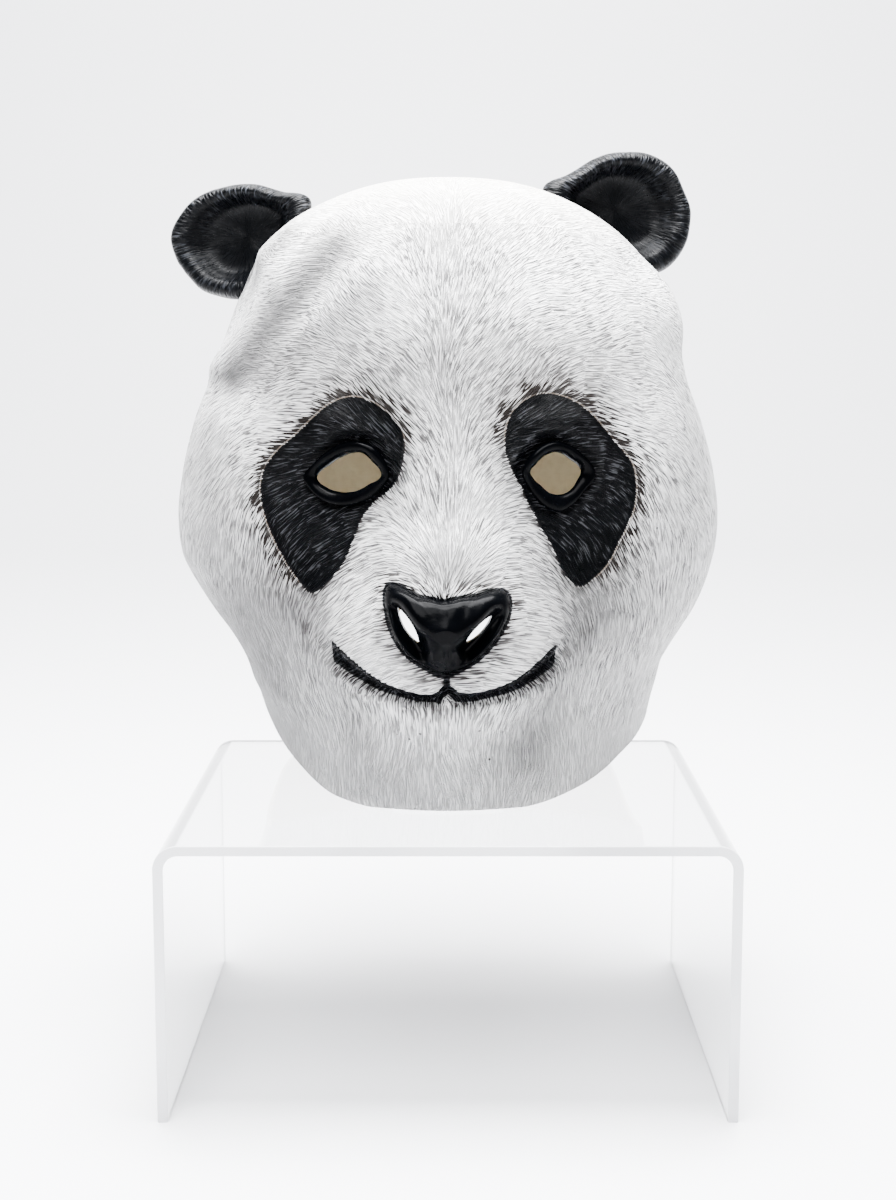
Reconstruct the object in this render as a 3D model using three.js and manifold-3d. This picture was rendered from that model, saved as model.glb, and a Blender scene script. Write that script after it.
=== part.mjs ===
// A full-head latex panda mask standing on a clear bent-sheet riser.
// Millimetres, +Z up, the face looks towards -Y and +X is on the right of someone who faces it.
import * as THREE from 'three';
import { mergeVertices } from 'three/addons/utils/BufferGeometryUtils.js';
import Module from 'manifold-3d';

// Head: the widest place is the plane y = 0, and heights are over the riser's top
const HEAD_HEIGHT = 270;
const HEAD_HALF_WIDTH = 125;
const HEAD_FRONT = 109;
const HEAD_BACK = 99;
const LATEX_WALL = 2.2;
const RIM_ARCH = 31;
const CAP_POWER = 2.3;
const CAP_START = 0.5;
const SECTION_POWER = 2.2;

// Nape slit, cut up from the neck edge
const SLIT_WIDTH = 56;
const SLIT_HEIGHT = 76;

// Eyes: the holes and the rolled lids round them
const LID_THICKNESS = 6.4;
const LID_INSET = 0.9;
const EYE_POWER = 1.7;

// Nose and mouth
const NOSE_HALF_WIDTH = 25;
const NOSE_HEIGHT = 36;
const NOSE_FOOT = 63;
const NOSE_DEPTH = 15;
const NOSE_PROUD = 8;
const NOSTRIL_LENGTH = 15.5;
const NOSTRIL_WIDTH = 4.4;
const MOUTH_HALF_WIDTH = 46;
const MOUTH_HEIGHT = 55;
const MOUTH_CURVE = 18.5;
const MOUTH_GROOVE = 3.4;
const LIP_RISE = 2.4;

// Ears
const EAR_RADIUS = 32;
const EAR_DEPTH = 21;

// Riser: one sheet bent twice
const RISER_WIDTH = 233;
const RISER_DEPTH = 197;
const RISER_HEIGHT = 114;
const RISER_SHEET = 4.2;
const RISER_BEND = 10;
const CHIN_SETBACK = 56;
const SEAT_GAP = 0.3;

// Head sections: height as a share of HEAD_HEIGHT, and the shares of the half width, front and back there
const HEAD_SECTIONS = [
  { height: 0.0, width: 0.72, front: 0.965, back: 0.37 },
  { height: 0.11, width: 0.725, front: 0.97, back: 0.4 },
  { height: 0.19, width: 0.79, front: 0.98, back: 0.5 },
  { height: 0.28, width: 0.92, front: 1.0, back: 0.68 },
  { height: 0.365, width: 0.984, front: 1.0, back: 0.84 },
  { height: 0.435, width: 1.0, front: 1.0, back: 0.93 },
  { height: 0.505, width: 0.983, front: 1.0, back: 0.98 },
  { height: 0.59, width: 0.943, front: 0.995, back: 1.0 },
  { height: 0.67, width: 0.908, front: 0.99, back: 1.0 },
  { height: 0.76, width: 0.93, front: 0.985, back: 0.98 },
  { height: 0.87, width: 0.955, front: 0.96, back: 0.95 },
  { height: 1.0, width: 0.95, front: 0.94, back: 0.92 },
];

// Neck edge: how far it rises off the riser, as a share of RIM_ARCH, by the angle from the chin
const RIM_RISE = [
  { angle: 0, rise: 0 },
  { angle: 21, rise: 0 },
  { angle: 36, rise: 0.16 },
  { angle: 52, rise: 0.41 },
  { angle: 63, rise: 0.61 },
  { angle: 74, rise: 0.83 },
  { angle: 90, rise: 1.0 },
  { angle: 106, rise: 0.72 },
  { angle: 121, rise: 0.22 },
  { angle: 133, rise: 0 },
  { angle: 180, rise: 0 },
];

// Rounded forms of the face: centre and reach across as shares of HEAD_HALF_WIDTH,
// upwards as shares of HEAD_HEIGHT, and the rise as a share of HEAD_FRONT
const FACE_FORMS = [
  { name: 'muzzle', across: 0, up: 0.275, wide: 0.5, tall: 0.2, rise: 0.24 },
  { name: 'bridge', across: 0, up: 0.42, wide: 0.24, tall: 0.15, rise: 0.05 },
  { name: 'chin', across: 0, up: 0.085, wide: 0.4, tall: 0.105, rise: 0.06 },
  { name: 'left cheek', across: -0.56, up: 0.25, wide: 0.3, tall: 0.14, rise: 0.03 },
  { name: 'right cheek', across: 0.56, up: 0.25, wide: 0.3, tall: 0.14, rise: 0.03 },
  { name: 'left socket', across: -0.37, up: 0.51, wide: 0.28, tall: 0.11, rise: -0.05 },
  { name: 'right socket', across: 0.38, up: 0.51, wide: 0.28, tall: 0.11, rise: -0.05 },
  { name: 'left brow', across: -0.33, up: 0.65, wide: 0.3, tall: 0.075, rise: 0.03 },
  { name: 'right brow', across: 0.33, up: 0.65, wide: 0.3, tall: 0.075, rise: 0.03 },
  { name: 'left temple dent', across: -0.86, up: 0.79, wide: 0.3, tall: 0.12, rise: -0.1 },
  { name: 'right temple bulge', across: 0.84, up: 0.8, wide: 0.22, tall: 0.1, rise: 0.04 },
  { name: 'left jaw dent', across: -0.9, up: 0.225, wide: 0.45, tall: 0.15, rise: -0.055 },
  { name: 'left neck dent', across: -0.66, up: 0.05, wide: 0.3, tall: 0.12, rise: -0.06 },
  { name: 'right neck bulge', across: 0.74, up: 0.11, wide: 0.2, tall: 0.09, rise: 0.035 },
];

// Long folds of the skin: both ends in the same shares as above
const SKIN_FOLDS = [
  { name: 'valley', across: -0.33, up: 0.87, toAcross: -0.76, toUp: 0.65, half: 0.085, rise: -0.045 },
  { name: 'ridge', across: -0.2, up: 0.83, toAcross: -0.6, toUp: 0.62, half: 0.08, rise: 0.022 },
  { name: 'upper ridge', across: -0.5, up: 0.9, toAcross: -0.86, toUp: 0.7, half: 0.07, rise: 0.03 },
];

// Eyes: centre across and up as shares of HEAD_HALF_WIDTH and HEAD_HEIGHT, hole size in shares of
// HEAD_HALF_WIDTH, and the tilt in degrees
const EYES = [
  { side: 'left', across: -0.337, up: 0.518, halfLength: 0.112, halfHeight: 0.068, tilt: 8 },
  { side: 'right', across: 0.36, up: 0.519, halfLength: 0.09, halfHeight: 0.07, tilt: -4 },
];

// Nostrils: centre in shares of NOSE_HALF_WIDTH and NOSE_HEIGHT over NOSE_FOOT, tilt in degrees
const NOSTRILS = [
  { across: -0.635, up: 0.56, tilt: 120 },
  { across: 0.49, up: 0.53, tilt: 47 },
];

// Nose sections from its foot up: height, half width and forward reach as shares of the nose's own sizes
const NOSE_SECTIONS = [
  { height: 0.0, width: 0.1, reach: 0.55 },
  { height: 0.1, width: 0.4, reach: 0.62 },
  { height: 0.25, width: 0.72, reach: 0.72 },
  { height: 0.42, width: 0.89, reach: 0.84 },
  { height: 0.62, width: 0.98, reach: 0.95 },
  { height: 0.8, width: 1.0, reach: 1.0 },
  { height: 0.93, width: 0.93, reach: 0.94 },
  { height: 1.0, width: 0.74, reach: 0.72 },
];
const NOSE_DIP = 0.17;

// Ears: centre across, back and up in shares of HEAD_HALF_WIDTH, HEAD_BACK and HEAD_HEIGHT,
// size as shares of EAR_RADIUS, and turns in degrees
const EARS = [
  { side: 'left', across: -0.757, back: 0.13, up: 0.905, long: 1.09, high: 0.81, roll: -25, yaw: -20 },
  { side: 'right', across: 0.63, back: 0.13, up: 0.95, long: 1.11, high: 0.88, roll: 10, yaw: 18 },
];

// Ear profile from the middle of the dished front, over the rim, to the middle of the back:
// out as a share of EAR_RADIUS, forward as a share of EAR_DEPTH
const EAR_PROFILE = [
  { out: 0.0, forward: -0.12 },
  { out: 0.4, forward: -0.06 },
  { out: 0.66, forward: 0.12 },
  { out: 0.8, forward: 0.32 },
  { out: 0.9, forward: 0.36 },
  { out: 0.98, forward: 0.24 },
  { out: 1.0, forward: 0.05 },
  { out: 0.93, forward: -0.18 },
  { out: 0.72, forward: -0.42 },
  { out: 0.4, forward: -0.6 },
  { out: 0.0, forward: -0.64 },
];

// Mesh density
const OUTER_COLUMNS = 72;
const OUTER_ROWS = { lower: 27, upper: 10 };
const INNER_COLUMNS = 44;
const INNER_ROWS = { lower: 14, upper: 7 };
const FRONT_DENSITY = 0.45;
const ROW_BREAK = 0.61;
const EAR_SIDES = 16;
const LID_STEPS = 20;
const LID_SIDES = 6;
const NOSE_SIDES = 22;
const MOUTH_STEPS = 22;
const BEND_STEPS = 5;

const RIGHT_ANGLE = Math.PI / 2;
const wasm = await Module();
wasm.setup();

function smoothStep(low, high, value) {
  const share = THREE.MathUtils.clamp((value - low) / (high - low), 0, 1);
  return share * share * (3 - 2 * share);
}

// Smooth curve through a table's column, with the slopes of its neighbours
function readTable(table, key, column, at) {
  const last = table.length - 1;
  let index = 0;
  while (index < last - 1 && at > table[index + 1][key]) index += 1;
  const low = table[index];
  const high = table[index + 1];
  const before = table[Math.max(index - 1, 0)];
  const after = table[Math.min(index + 2, last)];
  const span = high[key] - low[key];
  const share = THREE.MathUtils.clamp((at - low[key]) / span, 0, 1);
  const slopeLow = ((high[column] - before[column]) / (high[key] - before[key])) * span;
  const slopeHigh = ((after[column] - low[column]) / (after[key] - low[key])) * span;
  const square = share * share;
  const cube = square * share;
  return (2 * cube - 3 * square + 1) * low[column] + (cube - 2 * square + share) * slopeLow
    + (3 * square - 2 * cube) * high[column] + (cube - square) * slopeHigh;
}

// The crown closes the head like one end of an egg
function capShare(height) {
  const start = CAP_START * HEAD_HEIGHT;
  const share = THREE.MathUtils.clamp((height - start) / (HEAD_HEIGHT - start), 0, 1);
  return Math.pow(1 - Math.pow(share, CAP_POWER), 1 / CAP_POWER);
}

function rimHeight(turn) {
  const angle = THREE.MathUtils.radToDeg(Math.abs(turn));
  return RIM_ARCH * Math.max(readTable(RIM_RISE, 'angle', 'rise', angle), 0);
}

// A rounded form rises smoothly from its border to its middle
function formRise(form, x, z) {
  const across = (x - form.across * HEAD_HALF_WIDTH) / (form.wide * HEAD_HALF_WIDTH);
  const up = (z - form.up * HEAD_HEIGHT) / (form.tall * HEAD_HEIGHT);
  const inside = Math.max(1 - across * across - up * up, 0);
  return form.rise * HEAD_FRONT * inside * inside * (2 - inside);
}

// A fold is a soft ridge or valley along a straight stretch
function foldRise(fold, x, z) {
  const start = new THREE.Vector2(fold.across * HEAD_HALF_WIDTH, fold.up * HEAD_HEIGHT);
  const end = new THREE.Vector2(fold.toAcross * HEAD_HALF_WIDTH, fold.toUp * HEAD_HEIGHT);
  const along = end.clone().sub(start);
  const point = new THREE.Vector2(x, z).sub(start);
  const share = THREE.MathUtils.clamp(point.dot(along) / along.lengthSq(), 0, 1);
  const away = point.sub(along.multiplyScalar(share)).length() / (fold.half * HEAD_HALF_WIDTH);
  return fold.rise * HEAD_FRONT * Math.exp(-away * away);
}

function mouthLine(x) {
  const share = Math.abs(x) / MOUTH_HALF_WIDTH;
  return MOUTH_HEIGHT + MOUTH_CURVE * Math.pow(share, CAP_POWER);
}

// The upper lip stands a little proud of the mouth line
function lipRise(x, z) {
  const above = (z - mouthLine(x)) / (3 * MOUTH_GROOVE);
  const fade = 1 - smoothStep(0.75, 1.1, Math.abs(x) / MOUTH_HALF_WIDTH);
  return LIP_RISE * fade * smoothStep(-0.4, 0.2, above) * Math.exp(-(Math.max(above, 0) ** 2));
}

// Extra thickness of the skin behind the mouth line, where the groove is cut
function lipBacking(x, z) {
  const away = (z - mouthLine(x)) / (2.6 * MOUTH_GROOVE);
  const fade = 1 - smoothStep(1.0, 1.3, Math.abs(x) / MOUTH_HALF_WIDTH);
  return 0.9 * MOUTH_GROOVE * fade * Math.exp(-away * away);
}

function reliefAt(x, z) {
  let rise = lipRise(x, z);
  for (const form of FACE_FORMS) rise += formRise(form, x, z);
  for (const fold of SKIN_FOLDS) rise += foldRise(fold, x, z);
  return rise;
}

// A point of the head's outside, by the turn from the chin and the height
function headPoint(turn, height) {
  const share = height / HEAD_HEIGHT;
  const cap = capShare(height);
  const front = Math.cos(turn) > 0;
  const width = HEAD_HALF_WIDTH * cap * readTable(HEAD_SECTIONS, 'height', 'width', share);
  const reach = cap * (front
    ? HEAD_FRONT * readTable(HEAD_SECTIONS, 'height', 'front', share)
    : HEAD_BACK * readTable(HEAD_SECTIONS, 'height', 'back', share));
  const across = Math.sin(turn);
  const forward = Math.cos(turn);
  const power = Math.abs(across) ** SECTION_POWER + Math.abs(forward) ** SECTION_POWER;
  const scale = Math.pow(power, -1 / SECTION_POWER);
  const x = width * scale * across;
  const y = -reach * scale * forward;
  const normal = new THREE.Vector2(
    Math.sign(across) * Math.abs(scale * across) ** (SECTION_POWER - 1) * reach,
    -Math.sign(forward) * Math.abs(scale * forward) ** (SECTION_POWER - 1) * width,
  ).normalize();
  const weight = smoothStep(-0.3, 0.3, forward);
  const rise = weight > 0 ? weight * reliefAt(x, height) : 0;
  return new THREE.Vector3(x + normal.x * rise, y + normal.y * rise, height);
}

// The same point moved in through the wall, square to the skin
function innerPoint(turn, height) {
  const step = 0.02;
  const low = Math.min(height, HEAD_HEIGHT - 1);
  const centre = headPoint(turn, height);
  const across = headPoint(turn + step, low).sub(headPoint(turn - step, low));
  const up = headPoint(turn, low + 1).sub(headPoint(turn, low - 1));
  const normal = across.cross(up).normalize();
  const backing = Math.cos(turn) > 0 ? lipBacking(centre.x, height) : 0;
  return centre.addScaledVector(normal, -(LATEX_WALL + backing));
}

// Where the face stands at a place seen from the front
function facePoint(x, z) {
  let low = -RIGHT_ANGLE;
  let high = RIGHT_ANGLE;
  for (let round = 0; round < 30; round += 1) {
    const middle = (low + high) / 2;
    if (headPoint(middle, z).x < x) low = middle;
    else high = middle;
  }
  return headPoint((low + high) / 2, z);
}

// A closed mesh through rings of equally many points, with a point at each end
function closedLoft(rings, startPoint, endPoint) {
  const sides = rings[0].length;
  const points = [...rings.flat(), startPoint, endPoint];
  const start = points.length - 2;
  const end = points.length - 1;
  const faces = [];
  rings.slice(1).forEach((_, row) => {
    for (let side = 0; side < sides; side += 1) {
      const next = (side + 1) % sides;
      const a = row * sides + side;
      const b = row * sides + next;
      faces.push(a, b, b + sides, a, b + sides, a + sides);
    }
  });
  const lastRow = (rings.length - 1) * sides;
  for (let side = 0; side < sides; side += 1) {
    const next = (side + 1) % sides;
    faces.push(start, next, side, end, lastRow + side, lastRow + next);
  }
  return meshGeometry(points, faces);
}

// A closed ring-shaped mesh through sections that follow each other in a circle
function closedRing(sections) {
  const sides = sections[0].length;
  const faces = [];
  sections.forEach((_, row) => {
    const after = (row + 1) % sections.length;
    for (let side = 0; side < sides; side += 1) {
      const next = (side + 1) % sides;
      const corners = [row * sides + side, row * sides + next, after * sides + next, after * sides + side];
      faces.push(corners[0], corners[1], corners[2], corners[0], corners[2], corners[3]);
    }
  });
  return meshGeometry(sections.flat(), faces);
}

function meshGeometry(points, faces) {
  const geometry = new THREE.BufferGeometry();
  const values = points.flatMap((point) => [point.x, point.y, point.z]);
  geometry.setAttribute('position', new THREE.Float32BufferAttribute(values, 3));
  geometry.setIndex(faces);
  return geometry;
}

// Exact solids for joins and cuts; a mesh that came out inside out is turned round
function solidOf(source) {
  const geometry = source.clone();
  geometry.deleteAttribute('normal');
  geometry.deleteAttribute('uv');
  const merged = mergeVertices(geometry, 1e-4);
  const triVerts = Uint32Array.from(merged.index.array);
  if (signedVolume(merged) < 0) {
    for (let at = 0; at < triVerts.length; at += 3) {
      [triVerts[at], triVerts[at + 1]] = [triVerts[at + 1], triVerts[at]];
    }
  }
  const vertProperties = Float32Array.from(merged.attributes.position.array);
  return new wasm.Manifold(new wasm.Mesh({ numProp: 3, vertProperties, triVerts }));
}

function signedVolume(geometry) {
  const { position } = geometry.attributes;
  const corner = [new THREE.Vector3(), new THREE.Vector3(), new THREE.Vector3()];
  let volume = 0;
  for (let at = 0; at < geometry.index.count; at += 3) {
    corner.forEach((point, side) => point.fromBufferAttribute(position, geometry.index.array[at + side]));
    volume += corner[0].dot(corner[1].clone().cross(corner[2]));
  }
  return volume / 6;
}

function geometryOf(solid) {
  const { vertProperties, triVerts } = solid.getMesh();
  const geometry = new THREE.BufferGeometry();
  geometry.setAttribute('position', new THREE.Float32BufferAttribute(vertProperties, 3));
  geometry.setIndex(Array.from(triVerts));
  geometry.computeVertexNormals();
  return geometry;
}

// Column angles are closest together on the face
function columnTurns(columns) {
  return Array.from({ length: columns }, (_, column) => {
    const share = (2 * column) / columns - 1;
    return Math.PI * (FRONT_DENSITY * share + (1 - FRONT_DENSITY) * share ** 3);
  });
}

// Row heights run evenly from the neck edge to the brow, then close over the crown
function rowHeights(foot, rows) {
  const brow = ROW_BREAK * HEAD_HEIGHT;
  const lower = Array.from({ length: rows.lower }, (_, row) => foot + ((brow - foot) * row) / rows.lower);
  const upper = Array.from({ length: rows.upper }, (_, row) => (
    brow + (HEAD_HEIGHT - brow) * Math.sin((RIGHT_ANGLE * row) / rows.upper)));
  return [...lower, ...upper];
}

function headOutside() {
  const columns = columnTurns(OUTER_COLUMNS).map((turn) => (
    rowHeights(rimHeight(turn), OUTER_ROWS).map((height) => headPoint(turn, height))));
  const rings = columns[0].map((_, row) => columns.map((column) => column[row]));
  const foot = new THREE.Vector3(0, 0, RIM_ARCH);
  return solidOf(closedLoft(rings, foot, new THREE.Vector3(0, 0, HEAD_HEIGHT)));
}

// The hollow runs a little past the neck edge, so that it opens downwards
function headInside() {
  const columns = columnTurns(INNER_COLUMNS).map((turn) => {
    const foot = rimHeight(turn);
    const skin = rowHeights(foot, INNER_ROWS).map((height) => innerPoint(turn, height));
    const below = skin[0].clone().setZ(-RIM_ARCH);
    return [below, ...skin];
  });
  const rings = columns[0].map((_, row) => columns.map((column) => column[row]));
  const foot = new THREE.Vector3(0, 0, -RIM_ARCH);
  return solidOf(closedLoft(rings, foot, new THREE.Vector3(0, 0, HEAD_HEIGHT - LATEX_WALL)));
}

// One ear: a dished oval cup, sunk in the head on its lower side
function earSolid(ear, inset) {
  const profile = EAR_PROFILE.map((row) => new THREE.Vector2(row.out * EAR_RADIUS, row.forward * EAR_DEPTH));
  const moved = profile.map((point, index) => {
    const before = profile[Math.max(index - 1, 0)];
    const after = profile[Math.min(index + 1, profile.length - 1)];
    const along = after.clone().sub(before).normalize();
    const inward = new THREE.Vector2(along.y, -along.x).multiplyScalar(inset);
    const place = point.clone().add(inward);
    return index === 0 || index === profile.length - 1 ? place.setX(0) : place;
  });
  const geometry = new THREE.LatheGeometry(moved, EAR_SIDES);
  geometry.rotateX(Math.PI);
  geometry.scale(ear.long, 1, ear.high);
  geometry.rotateY(THREE.MathUtils.degToRad(ear.roll));
  geometry.rotateZ(THREE.MathUtils.degToRad(ear.yaw));
  geometry.translate(ear.across * HEAD_HALF_WIDTH, ear.back * HEAD_BACK, ear.up * HEAD_HEIGHT);
  return solidOf(geometry);
}

function nosePoint(section, angle) {
  const foot = facePoint(0, NOSE_FOOT + section.height * NOSE_HEIGHT);
  const x = section.width * NOSE_HALF_WIDTH * Math.cos(angle);
  const dip = NOSE_DIP * NOSE_HEIGHT * section.height ** 3;
  const z = NOSE_FOOT + section.height * NOSE_HEIGHT - dip * (1 - (x / NOSE_HALF_WIDTH) ** 2);
  const depth = section.reach * NOSE_DEPTH;
  const y = foot.y - section.reach * NOSE_PROUD + depth - depth * Math.sin(angle);
  return new THREE.Vector3(x, y, z);
}

function noseSolid() {
  const angles = Array.from({ length: NOSE_SIDES }, (_, side) => (2 * Math.PI * side) / NOSE_SIDES);
  const rings = NOSE_SECTIONS.map((section) => angles.map((angle) => nosePoint(section, angle)));
  const middle = (ring) => ring.reduce((sum, point) => sum.add(point), new THREE.Vector3())
    .divideScalar(ring.length);
  return solidOf(closedLoft(rings, middle(rings[0]), middle(rings.at(-1))));
}

// The outline of an eye hole, grown by a margin
function eyeOutline(eye, angle, margin) {
  const length = eye.halfLength * HEAD_HALF_WIDTH + margin;
  const height = eye.halfHeight * HEAD_HALF_WIDTH + margin;
  const power = Math.abs(Math.cos(angle)) ** EYE_POWER + Math.abs(Math.sin(angle)) ** EYE_POWER;
  const scale = Math.pow(power, -1 / EYE_POWER);
  const point = new THREE.Vector2(length * scale * Math.cos(angle), height * scale * Math.sin(angle));
  point.rotateAround(new THREE.Vector2(), THREE.MathUtils.degToRad(eye.tilt));
  return point.add(new THREE.Vector2(eye.across * HEAD_HALF_WIDTH, eye.up * HEAD_HEIGHT));
}

// A rolled lid: a round bead that follows the hole and lies on the face
function lidSolid(eye) {
  const radius = LID_THICKNESS / 2;
  const sections = Array.from({ length: LID_STEPS }, (_, step) => {
    const angle = (2 * Math.PI * step) / LID_STEPS;
    const place = eyeOutline(eye, angle, radius);
    const inner = eyeOutline(eye, angle, 0);
    const out = place.clone().sub(inner).normalize();
    const centre = facePoint(place.x, place.y);
    return Array.from({ length: LID_SIDES }, (__, side) => {
      const round = (2 * Math.PI * side) / LID_SIDES;
      return new THREE.Vector3(
        centre.x + radius * Math.cos(round) * out.x,
        centre.y + LID_INSET - radius * Math.sin(round),
        centre.z + radius * Math.cos(round) * out.y,
      );
    });
  });
  return solidOf(closedRing(sections));
}

// A cutter with the given outline, run through the front or the back wall along Y
function throughCut(outline, fromY, toY) {
  const shape = new THREE.Shape(outline);
  const geometry = new THREE.ExtrudeGeometry(shape, { depth: toY - fromY, bevelEnabled: false });
  geometry.rotateX(RIGHT_ANGLE);
  geometry.translate(0, toY, 0);
  return solidOf(geometry);
}

function eyeCut(eye) {
  const outline = Array.from({ length: LID_STEPS }, (_, step) => (
    eyeOutline(eye, (2 * Math.PI * step) / LID_STEPS, 0)));
  return throughCut(outline, -1.5 * HEAD_FRONT, -0.6 * HEAD_FRONT);
}

function nostrilCut(nostril) {
  const centre = new THREE.Vector2(
    nostril.across * NOSE_HALF_WIDTH,
    NOSE_FOOT + nostril.up * NOSE_HEIGHT,
  );
  const outline = slotOutline(NOSTRIL_LENGTH, NOSTRIL_WIDTH).map((point) => (
    point.rotateAround(new THREE.Vector2(), THREE.MathUtils.degToRad(nostril.tilt)).add(centre)));
  return throughCut(outline, -1.6 * HEAD_FRONT, -0.9 * HEAD_FRONT);
}

// A slot with round ends, lying along x
function slotOutline(length, width) {
  const radius = width / 2;
  const reach = length / 2 - radius;
  const steps = BEND_STEPS;
  const end = (side) => Array.from({ length: steps + 1 }, (_, step) => {
    const angle = side * RIGHT_ANGLE - RIGHT_ANGLE + (Math.PI * step) / steps;
    return new THREE.Vector2((1 - side) * reach + radius * Math.cos(angle), radius * Math.sin(angle));
  });
  return [...end(0), ...end(2)];
}

// The nape slit has a round top and stops below the neck edge
function slitCut() {
  const outline = slotOutline(2 * SLIT_HEIGHT, SLIT_WIDTH).map((point) => new THREE.Vector2(point.y, point.x));
  return throughCut(outline.reverse(), 0, 1.5 * HEAD_BACK);
}

// The mouth is a round groove along its line
function mouthCut() {
  const points = Array.from({ length: MOUTH_STEPS + 1 }, (_, step) => {
    const x = MOUTH_HALF_WIDTH * ((2 * step) / MOUTH_STEPS - 1);
    const place = facePoint(x, mouthLine(x));
    const sink = MOUTH_GROOVE * (0.35 + 0.5 * (Math.abs(x) / MOUTH_HALF_WIDTH) ** 4);
    return new THREE.Vector3(place.x, place.y - sink, place.z);
  });
  const path = new THREE.CatmullRomCurve3(points);
  const ring = Array.from({ length: LID_SIDES }, (_, side) => {
    const angle = (2 * Math.PI * side) / LID_SIDES;
    return new THREE.Vector2(MOUTH_GROOVE * Math.cos(angle), MOUTH_GROOVE * Math.sin(angle));
  });
  const options = { steps: MOUTH_STEPS, extrudePath: path, bevelEnabled: false };
  return solidOf(new THREE.ExtrudeGeometry(new THREE.Shape(ring), options));
}

function maskMesh() {
  let skin = headOutside();
  for (const ear of EARS) skin = skin.add(earSolid(ear, 0));
  skin = skin.add(noseSolid());
  for (const eye of EYES) skin = skin.add(lidSolid(eye));
  let hollow = headInside();
  for (const ear of EARS) hollow = hollow.add(earSolid(ear, LATEX_WALL));
  skin = skin.subtract(hollow).subtract(mouthCut()).subtract(slitCut());
  for (const eye of EYES) skin = skin.subtract(eyeCut(eye));
  for (const nostril of NOSTRILS) skin = skin.subtract(nostrilCut(nostril));
  const material = new THREE.MeshStandardMaterial({ color: 0xe8e7e3, roughness: 0.5, metalness: 0 });
  const mesh = new THREE.Mesh(geometryOf(skin), material);
  mesh.name = 'mask';
  mesh.position.set(0, 0, RISER_HEIGHT + SEAT_GAP);
  return mesh;
}

// The sheet's edge: down, across and down again, with both bends round
function riserOutline() {
  const half = RISER_WIDTH / 2;
  const inner = RISER_BEND - RISER_SHEET;
  const corner = half - RISER_BEND;
  const shape = new THREE.Shape();
  shape.moveTo(-half, 0);
  shape.lineTo(-half + RISER_SHEET, 0);
  shape.absarc(-corner, RISER_HEIGHT - RISER_BEND, inner, Math.PI, RIGHT_ANGLE, true);
  shape.absarc(corner, RISER_HEIGHT - RISER_BEND, inner, RIGHT_ANGLE, 0, true);
  shape.lineTo(half - RISER_SHEET, 0);
  shape.lineTo(half, 0);
  shape.absarc(corner, RISER_HEIGHT - RISER_BEND, RISER_BEND, 0, RIGHT_ANGLE, false);
  shape.absarc(-corner, RISER_HEIGHT - RISER_BEND, RISER_BEND, RIGHT_ANGLE, Math.PI, false);
  return shape;
}

function riserMesh() {
  const options = { depth: RISER_DEPTH, bevelEnabled: false, curveSegments: BEND_STEPS };
  const geometry = new THREE.ExtrudeGeometry(riserOutline(), options);
  geometry.rotateX(RIGHT_ANGLE);
  const chin = HEAD_FRONT * HEAD_SECTIONS[0].front;
  geometry.translate(0, RISER_DEPTH - chin - CHIN_SETBACK, 0);
  const material = new THREE.MeshStandardMaterial({
    color: 0xdfe8ea, roughness: 0.08, metalness: 0, transparent: true, opacity: 0.35,
  });
  const mesh = new THREE.Mesh(geometry, material);
  mesh.name = 'riser';
  return mesh;
}

// Stand the whole on the middle of its own footprint
const group = new THREE.Group();
group.add(maskMesh(), riserMesh());
const middle = new THREE.Box3().setFromObject(group).getCenter(new THREE.Vector3());
group.position.set(-middle.x, -middle.y, 0);

export default group;
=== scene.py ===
import math

import bmesh
import bpy
import numpy as np
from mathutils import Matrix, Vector


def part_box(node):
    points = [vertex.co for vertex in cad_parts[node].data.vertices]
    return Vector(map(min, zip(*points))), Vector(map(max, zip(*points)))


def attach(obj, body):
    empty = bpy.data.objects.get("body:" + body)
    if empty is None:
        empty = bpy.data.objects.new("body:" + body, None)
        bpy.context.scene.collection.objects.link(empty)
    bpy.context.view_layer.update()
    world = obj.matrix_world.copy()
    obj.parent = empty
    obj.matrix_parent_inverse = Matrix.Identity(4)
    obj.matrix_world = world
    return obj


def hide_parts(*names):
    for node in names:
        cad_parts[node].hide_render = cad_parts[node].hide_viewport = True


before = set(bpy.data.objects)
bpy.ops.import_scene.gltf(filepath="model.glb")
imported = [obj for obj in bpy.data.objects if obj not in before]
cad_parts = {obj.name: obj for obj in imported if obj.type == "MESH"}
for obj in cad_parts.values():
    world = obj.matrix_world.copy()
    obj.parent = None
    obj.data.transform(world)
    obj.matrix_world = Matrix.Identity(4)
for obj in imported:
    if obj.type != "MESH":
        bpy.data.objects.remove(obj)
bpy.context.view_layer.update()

MM = 0.001


def table(names, rows):
    """Named columns of a short table."""
    return {name: np.array([row[at] for row in rows], float) for at, name in enumerate(names.split())}


# Driving sizes of the head, the same as those of the solid
HEAD_HEIGHT = 270.0
HEAD_HALF_WIDTH = 125.0
HEAD_FRONT = 109.0
HEAD_BACK = 99.0
LATEX_WALL = 2.2
RIM_ARCH = 31.0
CAP_POWER = 2.3
CAP_START = 0.5
SECTION_POWER = 2.2
SLIT_WIDTH = 56.0
SLIT_HEIGHT = 76.0
EAR_RADIUS = 32.0
EAR_DEPTH = 21.0
RISER_SHEET = 4.2
RISER_BEND = 10.0
RISER_BEND_POINTS = 40
RISER_EASING = 0.35
CHIN_SETBACK = 56.0
SEAT_GAP = 0.3

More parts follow.
